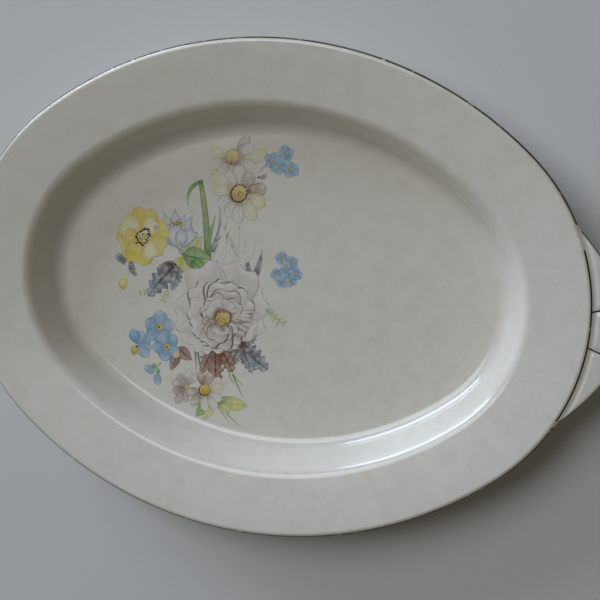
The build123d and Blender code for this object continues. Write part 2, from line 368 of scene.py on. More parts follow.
@dataclass(frozen=True)
class EnamelWash:
    """Ceramic enamel printed as a transfer over the glaze and fired until it shines.

    The eye sees a thin watercolour wash that pales from a petal's foot or edge, fine
    veins, and a broken sepia outline, all with the gloss of the glaze under it.  Each
    petal's U runs across it and V from its foot to its tip; whole numbers added to U
    tell one petal from the next.
    """

    name: str
    foot: str
    middle: str
    tip: str
    line: str
    middle_at: float = 0.5
    edge: str = ""
    edge_amount: float = 0.0
    outline: float = 0.6
    outline_width: float = 0.10
    veins: int = 5
    vein_amount: float = 0.2
    midrib: float = 0.0
    pale: float = 0.25
    tint: float = 0.25
    cloud_mm: float = 3.0
    roughness: float = 0.16

    def material(self) -> bpy.types.Material:
        """Build the wash's material.

        Returns:
            The material.
        """
        material, tree, shader = new_material(self.name)
        place = add_node(tree, "TexCoord").outputs["Object"]
        printed = add_node(tree, "UVMap", uv_map="UVMap").outputs["UV"]
        axes = add_node(tree, "SeparateXYZ", {0: printed})
        across = calculate(tree, "FRACT", axes.outputs["X"])
        petal = calculate(tree, "FLOOR", axes.outputs["X"])
        along = axes.outputs["Y"]
        cloud = add_node(
            tree,
            "TexNoise",
            {"Vector": place, "Scale": per_mm(self.cloud_mm), "Detail": 4.0, "Roughness": 0.6},
        ).outputs["Fac"]
        wobble = calculate(tree, "SUBTRACT", cloud, 0.5)
        chance = add_node(
            tree, "TexWhiteNoise", {"W": petal}, noise_dimensions="1D"
        ).outputs["Value"]

        washed = calculate(tree, "MULTIPLY_ADD", wobble, 0.55, along)
        lower = blend(
            tree,
            smooth_step(tree, washed, 0.0, self.middle_at),
            linear(self.foot),
            linear(self.middle),
        )
        colour = blend(
            tree, smooth_step(tree, washed, self.middle_at, 1.0), lower, linear(self.tip)
        )
        side = calculate(
            tree,
            "MULTIPLY",
            calculate(tree, "ABSOLUTE", calculate(tree, "SUBTRACT", across, 0.5)),
            2.0,
        )
        if self.edge:
            near_edge = smooth_step(
                tree, calculate(tree, "MULTIPLY_ADD", wobble, 0.6, side), 0.35, 1.0
            )
            colour = blend(
                tree,
                calculate(tree, "MULTIPLY", near_edge, self.edge_amount),
                colour,
                linear(self.edge),
            )
        whitened = calculate(
            tree,
            "MULTIPLY_CLAMPED",
            smooth_step(tree, cloud, 0.42, 0.68),
            self.pale * 2,
        )
        colour = blend(tree, whitened, colour, linear(IvoryGlaze.body))
        colour = blend(
            tree, calculate(tree, "MULTIPLY", chance, self.tint), colour, linear(IvoryGlaze.body)
        )

        spread = calculate(tree, "MULTIPLY", across, float(self.veins))
        from_vein = calculate(
            tree, "ABSOLUTE", calculate(tree, "SUBTRACT", calculate(tree, "FRACT", spread), 0.5)
        )
        vein = calculate(tree, "SUBTRACT", 1.0, smooth_step(tree, from_vein, 0.0, 0.16))
        fading = calculate(tree, "SUBTRACT", 1.0, smooth_step(tree, washed, 0.35, 0.9))
        drawn = calculate(
            tree,
            "MULTIPLY",
            calculate(tree, "MULTIPLY", vein, fading),
            self.vein_amount,
        )
        if self.midrib > 0.0:
            rib = calculate(tree, "SUBTRACT", 1.0, smooth_step(tree, side, 0.02, 0.12))
            drawn = calculate(
                tree, "MAXIMUM", drawn, calculate(tree, "MULTIPLY", rib, self.midrib)
            )
        rim = calculate(
            tree,
            "MAXIMUM",
            smooth_step(tree, side, 1 - self.outline_width, 1 - self.outline_width / 3),
            smooth_step(tree, along, 1 - self.outline_width * 0.7, 1 - self.outline_width / 4),
        )
        broken = smooth_step(tree, cloud, 0.33, 0.56)
        outline = calculate(
            tree, "MULTIPLY", calculate(tree, "MULTIPLY", rim, broken), self.outline
        )
        colour = blend(
            tree, calculate(tree, "MAXIMUM", drawn, outline), colour, linear(self.line)
        )
        tree.links.new(colour, shader.inputs["Base Color"])
        shader.inputs["Roughness"].default_value = self.roughness
        shader.inputs["IOR"].default_value = GLASS_IOR
        tree.links.new(IvoryGlaze().ripple(tree), shader.inputs["Normal"])
        return material


SEPIA = "#7B6256"


class Wash(Enum):
    """The enamels of the spray, each a wash with its own colours."""

    POPPY = EnamelWash(
        "poppy_enamel", "#CFB23C", "#E8D355", "#EEDD7A", "#A58A3A", edge="#DCC246",
        edge_amount=0.6, outline=0.5, outline_width=0.08, veins=6, vein_amount=0.14,
        pale=0.12, tint=0.2,
    )
    POPPY_PALE = EnamelWash(
        "poppy_highlight_enamel", "#E3CE58", "#F1ECC4", "#F0E6A6", "#B59C4C", edge="#E2CB50",
        edge_amount=0.85, outline=0.45, outline_width=0.08, veins=5, vein_amount=0.08,
        pale=0.2, tint=0.15,
    )
    TULIP = EnamelWash(
        "tulip_enamel", "#B4BFC6", "#E2E3DC", "#B9C3CA", "#66737F", edge="#93A2B0",
        edge_amount=0.8, outline=0.75, outline_width=0.12, veins=5, vein_amount=0.28,
        pale=0.25, tint=0.1,
    )
    BLUE = EnamelWash(
        "forget_me_not_enamel", "#6F9CBE", "#8FB4CC", "#B3CCD6", "#527FA6", edge="#6C9BC0",
        edge_amount=0.85, outline=0.65, outline_width=0.14, veins=3, vein_amount=0.22,
        pale=0.12, tint=0.3, cloud_mm=2.0,
    )
    DAISY = EnamelWash(
        "daisy_enamel", "#A88E80", "#E3DCCE", "#E4DECF", SEPIA, edge="#CDBFB0",
        edge_amount=0.35, outline=0.7, outline_width=0.12, veins=4, vein_amount=0.4,
        pale=0.3, tint=0.25,
    )
    DAISY_BROWN = EnamelWash(
        "brown_daisy_enamel", "#8A6455", "#C3AFA0", "#D2C3B4", "#6E4E42", middle_at=0.55,
        edge="#A98E7F", edge_amount=0.55, outline=0.8, outline_width=0.15, veins=5,
        vein_amount=0.55, pale=0.25, tint=0.3,
    )
    DAISY_LEMON = EnamelWash(
        "lemon_daisy_enamel", "#BFA26A", "#E6E0C2", "#DFD49A", "#8E7A58",
        edge="#D8CD86", edge_amount=0.6, outline=0.55, outline_width=0.11, veins=4,
        vein_amount=0.28, pale=0.3, tint=0.3,
    )
    PEONY = EnamelWash(
        "peony_enamel", "#8E7A70", "#D9D1C4", "#EBE6DA", "#735B50", middle_at=0.58,
        edge="#CBBFB3", edge_amount=0.30, outline=0.55, outline_width=0.055, veins=7,
        vein_amount=0.12, pale=0.3, tint=0.2, cloud_mm=5.0,
    )
    PEONY_INNER = EnamelWash(
        "inner_peony_enamel", "#7C6254", "#D0C5B6", "#ECE7DA", "#5E443A", middle_at=0.66,
        edge="#C4B5A6", edge_amount=0.4, outline=0.7, outline_width=0.08, veins=5,
        vein_amount=0.16, pale=0.22, tint=0.2, cloud_mm=3.5,
    )
    PEONY_FOLD = EnamelWash(
        "folded_peony_enamel", "#6E5850", "#A49186", "#D8CFC2", "#5A4038", middle_at=0.55,
        edge="#8E796D", edge_amount=0.75, outline=0.85, outline_width=0.2, veins=3,
        vein_amount=0.4, pale=0.1, tint=0.35, cloud_mm=2.5,
    )
    LILY = EnamelWash(
        "lily_enamel", "#C4B6A2", "#E8E3D6", "#E5DFCF", "#8F7768", middle_at=0.35,
        outline=0.62, outline_width=0.10, veins=4, vein_amount=0.3, pale=0.5, tint=0.2,
    )
    GREEN = EnamelWash(
        "green_leaf_enamel", "#5D9050", "#96B866", "#A9C37A", "#3F6A3C", edge="#6B9C58",
        edge_amount=0.7, outline=0.6, outline_width=0.10, veins=7, vein_amount=0.32,
        midrib=0.75, pale=0.12, tint=0.15,
    )
    LEMON_LEAF = EnamelWash(
        "lemon_leaf_enamel", "#C4B955", "#E2D985", "#B9C87A", "#7F9050", edge="#CDC66C",
        edge_amount=0.55, outline=0.45, outline_width=0.10, veins=7, vein_amount=0.22,
        midrib=0.5, pale=0.18, tint=0.2,
    )
    SLATE = EnamelWash(
        "slate_leaf_enamel", "#5B4640", "#83868C", "#A3AEB6", "#3E332F", edge="#737A84",
        edge_amount=0.55, outline=0.7, outline_width=0.10, veins=6, vein_amount=0.5,
        midrib=0.85, pale=0.3, tint=0.2, cloud_mm=4.0,
    )
    RUSSET = EnamelWash(
        "russet_leaf_enamel", "#65402F", "#99694F", "#BA8E72", "#46281D", edge="#8A5B44",
        edge_amount=0.55, outline=0.8, outline_width=0.12, veins=8, vein_amount=0.5,
        midrib=0.9, pale=0.14, tint=0.25,
    )
    GRASS = EnamelWash(
        "grass_enamel", "#4A7A45", "#8FAE58", "#B4BE62", "#3B6638", middle_at=0.4,
        edge="#5C8A4C", edge_amount=0.75, outline=0.7, outline_width=0.22, veins=2,
        vein_amount=0.35, midrib=0.2, pale=0.1, tint=0.2,
    )
    SPRIG = EnamelWash(
        "sprig_enamel", "#A9BA66", "#BECB84", "#CDD79C", "#8FA058", outline=0.3,
        pale=0.15, tint=0.3,
    )
    GOLD_HEART = EnamelWash(
        "flower_heart_enamel", "#B3913A", "#DBC255", "#E6D47A", "#7E5A2A", outline=0.7,
        outline_width=0.2, veins=6, vein_amount=0.45, pale=0.08, tint=0.3, cloud_mm=1.0,
    )
    STAMEN = EnamelWash(
        "stamen_enamel", "#35251F", "#44302A", "#52392F", "#281B17", outline=0.3, pale=0.0,
        tint=0.1, cloud_mm=1.0,
    )
    RUST_DOT = EnamelWash(
        "rust_stamen_enamel", "#7C4A2C", "#97603A", "#A87242", "#543020", outline=0.3,
        pale=0.0, tint=0.2, cloud_mm=1.0,
    )
    STEM = EnamelWash(
        "stem_enamel", "#6B9160", "#7D9F6C", "#93AE80", "#4F7549", outline=0.2, pale=0.1,
        tint=0.3, cloud_mm=2.0,
    )
    SEPIA_LINE = EnamelWash(
        "sepia_line_enamel", "#7A6256", "#8C7468", "#A08C80", "#5E483E", outline=0.2,
        pale=0.12, tint=0.35, cloud_mm=2.0,
    )
    BLUE_LINE = EnamelWash(
        "slate_line_enamel", "#74828E", "#8995A0", "#A9B3BA", "#5A6876", outline=0.2,
        pale=0.12, tint=0.3, cloud_mm=2.0,
    )


# --- Working in edit mode ------------------------------------------------------------------


def put_down() -> None:
    """Leave edit mode and deselect every object."""
    if bpy.context.object and bpy.context.object.mode != "OBJECT":
        bpy.ops.object.mode_set(mode="OBJECT")
    bpy.ops.object.select_all(action="DESELECT")


def pick_up(*pieces: bpy.types.Object) -> None:
    """Select these objects alone, with the first one active.

    Args:
        pieces: the objects.
    """
    put_down()
    for piece in pieces:
        piece.select_set(True)
    bpy.context.view_layer.objects.active = pieces[0]


def choose(piece: bpy.types.Object, wanted: Any, mode: str = "VERT") -> None:
    """Select a piece's vertices, edges or faces by a test, in edit mode.

    Args:
        piece: the object in edit mode.
        wanted: takes a vertex, edge or face of the edit mesh and says if it is selected.
        mode: "VERT", "EDGE" or "FACE".
    """
    bpy.ops.mesh.select_mode(type=mode)
    bpy.ops.mesh.select_all(action="DESELECT")
    mesh = bmesh.from_edit_mesh(piece.data)
    parts = {"VERT": mesh.verts, "EDGE": mesh.edges, "FACE": mesh.faces}[mode]
    for part in [part for part in parts if wanted(part)]:
        part.select_set(True)
    mesh.select_flush_mode()
    bmesh.update_edit_mesh(piece.data)


def apply_modifier(piece: bpy.types.Object, kind: str, **settings: Any) -> None:
    """Add one modifier to a piece and apply it.

    Args:
        piece: the object that is changed.
        kind: the modifier's type.
        settings: the modifier's own properties.
    """
    pick_up(piece)
    modifier = piece.modifiers.new(kind.lower(), kind)
    for name, value in settings.items():
        setattr(modifier, name, value)
    bpy.ops.object.modifier_apply(modifier=modifier.name)


def face_outwards(piece: bpy.types.Object) -> None:
    """Turn all of a closed shell's faces outwards.

    Args:
        piece: the shell.
    """
    pick_up(piece)
    bpy.ops.object.mode_set(mode="EDIT")
    bpy.ops.mesh.select_all(action="SELECT")
    bpy.ops.mesh.normals_make_consistent(inside=False)
    put_down()


def turn_over(piece: bpy.types.Object) -> None:
    """Turn every face of a piece to its other side.

    Args:
        piece: the piece.
    """
    pick_up(piece)
    bpy.ops.object.mode_set(mode="EDIT")
    bpy.ops.mesh.select_all(action="SELECT")
    bpy.ops.mesh.flip_normals()
    put_down()

def duplicate(piece: bpy.types.Object, name: str) -> bpy.types.Object:
    """Copy a piece together with its mesh.

    Args:
        piece: the object to copy.
        name: the copy's name.

    Returns:
        The copy.
    """
    twin = piece.copy()
    twin.data = piece.data.copy()
    twin.name = name
    bpy.context.scene.collection.objects.link(twin)
    return twin


def join(name: str, pieces: Sequence[bpy.types.Object]) -> bpy.types.Object:
    """Join several objects into one with a name.

    Args:
        name: the joined object's name.
        pieces: the objects.

    Returns:
        The joined object.
    """
    pick_up(*pieces)
    if len(pieces) > 1:
        bpy.ops.object.join()
    whole = bpy.context.object
    whole.name = name
    whole.data.name = name
    return whole


def drop(piece: bpy.types.Object) -> None:
    """Throw a finished helper object away."""
    bpy.data.objects.remove(piece, do_unlink=True)


@dataclass
class Pen:
    """Draws a chain of edges in edit mode, straight run by straight run and bend by bend."""

    piece: bpy.types.Object
    tip: Vector

    @classmethod
    def start(cls, name: str, at: Vector) -> "Pen":
        """Begin a new object with one point.

        Args:
            name: the object's name.
            at: where the point goes, in metres.

        Returns:
            The pen, with its object in edit mode.
        """
        put_down()
        bpy.ops.mesh.primitive_plane_add(size=MM)
        piece = bpy.context.object
        piece.name = name
        bpy.ops.object.mode_set(mode="EDIT")
        bpy.ops.mesh.select_mode(type="VERT")
        bpy.ops.mesh.merge(type="CENTER")
        bpy.ops.transform.translate(value=at)
        return cls(piece, at.copy())

    def run(self, to: Vector, steps: int = 1) -> None:
        """Draw straight to a point, in equal steps.

        Args:
            to: the point, in metres.
            steps: how many edges the run has.
        """
        step = (to - self.tip) / steps
        for _ in range(steps):
            bpy.ops.mesh.extrude_region_move(TRANSFORM_OT_translate={"value": step})
        self.tip = to.copy()

    def bend(self, centre: Vector, axis: Vector, turn: float, steps: int) -> None:
        """Draw an arc round an axis, right-handed, by an angle in radians.

        Args:
            centre: a point on the axis, in metres.
            axis: the axis's direction.
            turn: the angle.
            steps: how many edges the arc has.
        """
        bpy.ops.mesh.spin(steps=steps, angle=-turn, center=centre, axis=axis)
        self.tip = centre + Matrix.Rotation(turn, 3, axis) @ (self.tip - centre)

    def walk(self, corners: Sequence[Vector], radii: Sequence[float], hold: float) -> None:
        """Draw along a route whose inner corners are rounded.

        Args:
            corners: the route's corners after the pen's tip, the last one its end.
            radii: a radius for each corner but the last.
            hold: length of the short run kept beside each bend, so it stays crisp.
        """
        for place, corner in enumerate(corners[:-1]):
            ahead = (corner - self.tip).normalized()
            after = (corners[place + 1] - corner).normalized()
            turn = ahead.angle(after)
            cut = radii[place] * math.tan(turn / 2)
            begin = corner - ahead * cut
            straight = (begin - self.tip).length
            if straight > 3 * hold:
                self.run(self.tip + ahead * hold)
                self.run(begin - ahead * hold, max(1, round(straight / RUN_LENGTH)))
            self.run(begin)
            axis = ahead.cross(after).normalized()
            centre = begin + axis.cross(ahead) * radii[place]
            self.bend(centre, axis, turn, max(4, round(math.degrees(turn) / 5)))
        self.run(self.tip + (corners[-1] - self.tip).normalized() * hold)
        self.run(corners[-1], max(1, round((corners[-1] - self.tip).length / RUN_LENGTH)))


# --- The oval and its section ----------------------------------------------------------------

UP = Vector((0.0, 0.0, 1.0))
MIRROR = Matrix.Scale(-1.0, 4, Vector((1.0, 0.0, 0.0)))
HALF_TURN = Matrix.Rotation(math.pi, 4, "Z")


@dataclass(frozen=True)
class Oval:
    """The four-centre oval that every ring of the platter follows, in millimetres."""

    half_length: float
    half_width: float
    end_radius: float = 105.0

    @property
    def side_radius(self) -> float:
        """Radius of the two long arcs."""
        squares = self.half_length**2 + self.half_width**2
        gap = squares - 2 * self.half_length * self.end_radius
        return gap / (2 * (self.half_width - self.end_radius))

    @property
    def end_offset(self) -> float:
        """Distance of the end arcs' centres from the middle."""
        return self.half_length - self.end_radius

    @property
    def side_offset(self) -> float:
        """Distance of the side arcs' centres from the middle."""
        return self.side_radius - self.half_width

    @property
    def end_half_angle(self) -> float:
        """Half the sweep of an end arc, in radians."""
        return math.atan2(self.side_offset, self.end_offset)

    def end_centre(self) -> Vector:
        """Centre of the right end's arc, in metres."""
        return Vector((self.end_offset * MM, 0.0, 0.0))

    def arcs(self) -> list[tuple[Vector, float]]:
        """Centre and sweep of each arc met going round from the right end's middle.

        Returns:
            Centres in metres and sweeps in radians.
        """
        end = self.end_half_angle
        side = math.pi - 2 * end
        offset = Vector((0.0, self.side_offset * MM, 0.0))
        return [
            (self.end_centre(), end),
            (-offset, side),
            (-self.end_centre(), 2 * end),
            (offset, side),
            (self.end_centre(), end),
        ]


@dataclass(frozen=True)
class Section:
    """The glazed platter's section, in millimetres from the rim's edge and above the table."""

    rim_height: float = 33.0
    wall: float = 4.6
    flange_width: float = 29.2
    flange_fall: float = 4.7
    wall_run: float = 10.3
    lip_radius: float = 4.0
    corner_radius: float = 10.0
    foot_height: float = 3.7
    foot_top_width: float = 6.0
    foot_sole_width: float = 3.0
    foot_setback: float = 1.5
    foot_wipe: float = 0.8
    foot_fillet: float = 0.7
    glaze: float = 0.3
    middle_inset: float = 60.0

    @property
    def nose(self) -> float:
        """Radius of the rim's round edge."""
        return self.wall / 2

    @property
    def nose_height(self) -> float:
        """Height of the middle of the rim's round edge."""
        return self.rim_height - self.nose

    @property
    def floor_middle(self) -> float:
        """Height of the middle of the floor's thickness."""
        return self.foot_height + self.nose

    @property
    def floor_top(self) -> float:
        """Height of the well's floor."""
        return self.foot_height + self.wall

    @property
    def lip_inset(self) -> float:
        """Inset of the bend from the flange to the wall."""
        return self.nose + self.flange_width

    @property
    def corner_inset(self) -> float:
        """Inset of the bend from the wall to the floor."""
        return self.lip_inset + self.wall_run

    @property
    def foot_middle(self) -> float:
        """Inset of the middle of the foot ring."""
        drop = self.nose_height - self.flange_fall - self.floor_middle
        turn = math.atan2(drop, self.wall_run)
        floor_inset = self.corner_inset + self.corner_radius * math.tan(turn / 2)
        return floor_inset + self.foot_setback + self.foot_top_width / 2

    def spine(self) -> list[Point]:
        """Corners of the line along the middle of the wall, from the rim to the middle.

        Returns:
            The corners.
        """
        return [
            (self.nose, self.nose_height),
            (self.lip_inset, self.nose_height - self.flange_fall),
            (self.corner_inset, self.floor_middle),
            (self.middle_inset, self.floor_middle),
        ]

    def skin(self, side: int) -> list[Point]:
        """Corners of the upper (side +1) or lower (side -1) surface.

        Args:
            side: +1 or -1.

        Returns:
            The corners, from the rim to the middle.
        """
        spine = [Vector(corner) for corner in self.spine()]
        ways = [(spine[i + 1] - spine[i]).normalized() for i in range(len(spine) - 1)]
        normals = [Vector((-way.y, way.x)) * side for way in ways]
        skin = [spine[0] + normals[0] * self.nose]
        for place in range(1, len(spine) - 1):
            before, after = normals[place - 1], normals[place]
            mitre = (before + after).normalized()
            skin.append(spine[place] + mitre * (self.nose / mitre.dot(before)))
        skin.append(spine[-1] + normals[-1] * self.nose)
        return [(corner.x, corner.y) for corner in skin]

    def foot_side(self, height: float) -> float:
        """Half the glazed foot's width at a height above its sole.

        Args:
            height: the height, in millimetres.

        Returns:
            Half the width, in millimetres.
        """
        taper = (self.foot_top_width - self.foot_sole_width) / 2
        tall = self.foot_height + self.glaze
        slope = taper / tall
        return (
            self.foot_sole_width / 2 + height * slope + self.glaze * math.hypot(1.0, slope)
        )


@dataclass
class Platter:
    """What every part of the platter shares: its oval, its section and its finishes."""

    oval: Oval
    section: Section
    finishes: dict[str, bpy.types.Material] = field(default_factory=dict)

    @classmethod
    def from_frame(cls) -> "Platter":
        """Take the oval and the rim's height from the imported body.

        Returns:
            The platter, with no finishes yet.
        """
        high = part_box("dish_body")[1] / MM
        long, wide, tall = (round(side + Section.glaze, 1) for side in high)
        return cls(Oval(long, wide), Section(rim_height=tall))

    def at(self, inset: float, height: float) -> Vector:
        """A section point at the right end, in metres."""
        return Vector(((self.oval.half_length - inset) * MM, 0.0, height * MM))

    def carry_round(self, step: float = 2.0) -> None:
        """Turn the chain that is selected in edit mode round the whole oval.

        Args:
            step: angle between sections on the end arcs, in degrees.
        """
        bpy.ops.mesh.select_all(action="SELECT")
        for centre, sweep in self.oval.arcs():
            steps = max(2, round(math.degrees(sweep) / step))
            bpy.ops.mesh.spin(steps=steps, angle=-sweep, center=centre, axis=UP)
        bpy.ops.mesh.select_all(action="SELECT")
        bpy.ops.mesh.remove_doubles(threshold=0.02 * MM)

    def paint(self, piece: bpy.types.Object, finish: str) -> None:
        """Give a piece one finish all over."""
        piece.data.materials.clear()
        piece.data.materials.append(self.finishes[finish])


# --- The glazed dish -------------------------------------------------------------------------


@dataclass
class GlazedDish:
    """The dish as the eye sees it: one skin of glaze, open only along the foot's bare sole."""

    platter: Platter
    skin: float = 0.28
    hold: float = 0.5

    def outside(self) -> bpy.types.Object:
        """From the floor over the rim and underneath to the foot's outer side.

        Returns:
            That surface, with the floor closed.
        """
        platter, section = self.platter, self.platter.section
        top = section.skin(1)
        under = section.skin(-1)
        pen = Pen.start("outside", platter.at(*top[3]))
        corners = [platter.at(*top[2]), platter.at(*top[1]), platter.at(*top[0])]
        radii = [
            (section.corner_radius - section.nose) * MM,
            (section.lip_radius + section.nose) * MM,
        ]
        pen.walk(corners, radii, self.hold * MM)
        round_nose = platter.at(section.nose, section.nose_height)
        pen.bend(round_nose, Vector((0.0, 1.0, 0.0)), math.pi, 20)
        foot_top = section.foot_middle - section.foot_side(section.foot_height)
        foot_low = section.foot_middle - section.foot_side(section.foot_wipe)
        corners = [
            platter.at(*under[1]),
            platter.at(*under[2]),
            platter.at(foot_top, section.foot_height),
            platter.at(foot_low, section.foot_wipe),
        ]
        radii = [
            (section.lip_radius - section.nose) * MM,
            (section.corner_radius + section.nose) * MM,
            section.foot_fillet * MM,
        ]
        pen.walk(corners, radii, self.hold * MM)
        platter.carry_round()
        self.close(pen.piece, section.floor_top)
        return pen.piece

    def inside(self) -> bpy.types.Object:
        """From the foot's inner side up to the underside and in to its middle.

        Returns:
            That surface, with the underside closed.
        """
        platter, section = self.platter, self.platter.section
        foot_low = section.foot_middle + section.foot_side(section.foot_wipe)
        foot_top = section.foot_middle + section.foot_side(section.foot_height)
        pen = Pen.start("inside", platter.at(foot_low, section.foot_wipe))
        corners = [
            platter.at(foot_top, section.foot_height),
            platter.at(section.middle_inset, section.foot_height),
        ]
        pen.walk(corners, [section.foot_fillet * MM], self.hold * MM)
        platter.carry_round()
        self.close(pen.piece, section.foot_height)
        return pen.piece

    def close(self, piece: bpy.types.Object, height: float) -> None:
        """Close the middle of the floor or the underside, in steps that stay even.

        Args:
            piece: the surface, in edit mode.
            height: the middle's height, in millimetres.
        """
        edge = (self.platter.oval.half_length - self.platter.section.middle_inset) * MM
        limit = edge + 0.5 * MM
        level = height * MM

        def on_hole(part: Any) -> bool:
            """Whether an edge lies round the open middle."""
            return part.is_boundary and all(
                abs(vertex.co.z - level) < 0.1 * MM and abs(vertex.co.x) < limit
                for vertex in part.verts
            )

        choose(piece, on_hole, "EDGE")
        bpy.ops.mesh.edge_face_add()
        bpy.ops.mesh.select_mode(type="FACE")
        for _ in range(3):
            bpy.ops.mesh.inset(thickness=RUN_LENGTH, depth=0.0)
        put_down()

    def build(self) -> bpy.types.Object:
        """Make the skin, with its thickness.

        Returns:
            The glazed dish.
        """
        outside, inside = self.outside(), self.inside()
        face_outwards(outside)
        self.face_down(inside)
        dish = join("glazed_dish", [outside, inside])
        apply_modifier(dish, "SOLIDIFY", thickness=self.skin * MM, offset=-1.0)
        return dish

    def face_down(self, piece: bpy.types.Object) -> None:
        """Turn the underside's faces to the table.

        Args:
            piece: the underside.
        """
        face_outwards(piece)
        largest = max(piece.data.polygons, key=lambda face: face.area)
        if largest.normal.z > 0:
            turn_over(piece)


# --- Lug handles -----------------------------------------------------------------------------


def meeting(first: Vector, first_radius: float, second: Vector, second_radius: float) -> Vector:
    """The meeting point of two circles that lies on the left of the way between them.

    Args:
        first: centre of the first circle.
        first_radius: its radius.
        second: centre of the second circle.
        second_radius: its radius.

    Returns:
        The meeting point.
    """
    gap = second - first
    along = (first_radius**2 - second_radius**2 + gap.length_squared) / (2 * gap.length)
    across = math.sqrt(first_radius**2 - along**2)
    unit = gap.normalized()
    return first + unit * along + Vector((-unit.y, unit.x, 0.0)) * across


@dataclass
class LugHandles:
    """The two pressed lugs: bulging sides, a round tip, a root groove and a fan of two."""

    platter: Platter
    thickness: float = 3.6
    step: float = 0.8
    reach: float = 18.5
    root_half_width: float = 48.0
    side_radius: float = 120.0
    tip_radius: float = 26.0
    root_depth: float = 3.5
    edge_round: float = 1.6
    root_groove: float = 2.0
    fan_groove: float = 4.5
    groove_depth: float = 0.6
    fan_angle: float = 17.8
    fan_inset: float = 28.0
    voxel: float = 0.42
    side_step: float = 0.8

    @property
    def top(self) -> float:
        """Height of the lug's flat top."""
        return self.platter.section.rim_height - self.step

    @property
    def tip_centre(self) -> Vector:
        """Centre of the tip's arc, in metres."""
        oval = self.platter.oval
        return Vector(((oval.half_length + self.reach - self.tip_radius) * MM, 0.0, 0.0))

    @property
    def side_centre(self) -> Vector:
        """Centre of the back side's arc, in metres."""
        oval = self.platter.oval
        across = math.sqrt(oval.end_radius**2 - self.root_half_width**2)
        root = Vector(((oval.end_offset + across) * MM, self.root_half_width * MM, 0.0))
        from_tip = (self.side_radius - self.tip_radius) * MM
        return meeting(self.tip_centre, from_tip, root, self.side_radius * MM)

    @property
    def blend_angle(self) -> float:
        """Angle from +X at which a side runs into the tip, in radians."""
        way = self.tip_centre - self.side_centre
        return math.atan2(way.y, way.x)

    def trace(self, pen: Pen, root: Vector) -> None:
        """Carry a pen from a root point on the front side round the tip to the back one.

        Args:
            pen: the pen, whose tip is at the root point of the front side.
            root: that point in plan.
        """
        back = self.side_centre
        front = Vector((back.x, -back.y, 0.0))
        start = math.atan2(root.y - front.y, root.x - front.x)
        sweep = -self.blend_angle - start
        steps = round(math.degrees(sweep) / self.side_step)
        tip_steps = round(math.degrees(2 * self.blend_angle) / (3 * self.side_step))
        pen.bend(front, UP, sweep, steps)
        pen.bend(self.tip_centre, UP, 2 * self.blend_angle, tip_steps)
        pen.bend(back, UP, sweep, steps)

    def root_point(self, radius: float) -> Vector:
        """Where the front side meets a circle round the end arc's centre, in metres.

        Args:
            radius: the circle's radius, in millimetres.

        Returns:
            The meeting point, in plan.
        """
        front = Vector((self.side_centre.x, -self.side_centre.y, 0.0))
        end = self.platter.oval.end_centre()
        return meeting(front, self.side_radius * MM, end, radius * MM)

    def blank(self) -> bpy.types.Object:
        """The right lug as a plate with a rounded edge.

        Returns:
            The plate, not yet grooved.
        """
        oval = self.platter.oval
        inner = oval.end_radius - self.root_depth
        root = self.root_point(inner)
        height = Vector((0.0, 0.0, self.top * MM))
        pen = Pen.start("right_lug", root + height)
        self.trace(pen, root)
        centre = oval.end_centre()
        angle = math.atan2(root.y, root.x - centre.x)
        pen.bend(centre, UP, 2 * angle, 40)
        bpy.ops.mesh.select_all(action="SELECT")
        bpy.ops.mesh.remove_doubles(threshold=0.05 * MM)
        bpy.ops.mesh.edge_face_add()
        down = (0.0, 0.0, -self.thickness * MM)
        bpy.ops.mesh.extrude_region_move(TRANSFORM_OT_translate={"value": down})
        limit = (inner + 0.3) * MM

        def outer_rim(edge: Any) -> bool:
            """Whether a level edge lies outside the lug's root."""
            ends = [vertex.co for vertex in edge.verts]
            level = abs(ends[0].z - ends[1].z) < 0.1 * MM
            away = [math.hypot(co.x - centre.x, co.y) > limit for co in ends]
            return level and any(away)

        choose(pen.piece, outer_rim, "EDGE")
        bpy.ops.mesh.bevel(offset=self.edge_round * MM, segments=6, affect="EDGES")
        put_down()
        face_outwards(pen.piece)
        return pen.piece

    def groove_tools(self) -> list[bpy.types.Object]:
        """The ring and the two rods that press the grooves.

        Returns:
            The ring first, then the rods.
        """
        oval = self.platter.oval
        tools = []
        lift = (self.top + self.root_groove - self.groove_depth) * MM
        put_down()
        bpy.ops.mesh.primitive_torus_add(
            location=(oval.end_offset * MM, 0.0, lift),
            major_radius=(oval.end_radius + self.root_groove / 2) * MM,
            minor_radius=self.root_groove * MM,
            major_segments=360,
            minor_segments=32,
        )
        tools.append(bpy.context.object)
        for side in (1, -1):
            way = side * math.radians(self.fan_angle)
            reach = (self.fan_inset + self.platter.section.nose) * MM
            long = (self.reach + self.fan_inset) * MM
            middle = reach + long / 2
            place = Vector(
                (
                    (oval.half_length - self.fan_inset) * MM + middle * math.cos(way),
                    middle * math.sin(way),
                    (self.top + self.fan_groove - self.groove_depth) * MM,
                )
            )
            bpy.ops.mesh.primitive_cylinder_add(
                vertices=96,
                radius=self.fan_groove * MM,
                depth=long,
                location=place,
                rotation=(0.0, math.pi / 2, way),
            )
            tools.append(bpy.context.object)
        return tools

    def build(self) -> list[bpy.types.Object]:
        """Press the right lug, soften it as glaze does, and mirror it to the left.

        Returns:
            The right lug and the left one.
        """
        lug = self.blank()
        for tool in self.groove_tools():
            apply_modifier(lug, "BOOLEAN", object=tool, operation="DIFFERENCE", solver="EXACT")
            drop(tool)
        apply_modifier(lug, "REMESH", mode="VOXEL", voxel_size=self.voxel * MM)
        apply_modifier(lug, "SMOOTH", factor=0.5, iterations=4)
        left = duplicate(lug, "left_lug")
        left.data.transform(MIRROR)
        face_outwards(left)
        return [lug, left]


# --- Painted lines ---------------------------------------------------------------------------


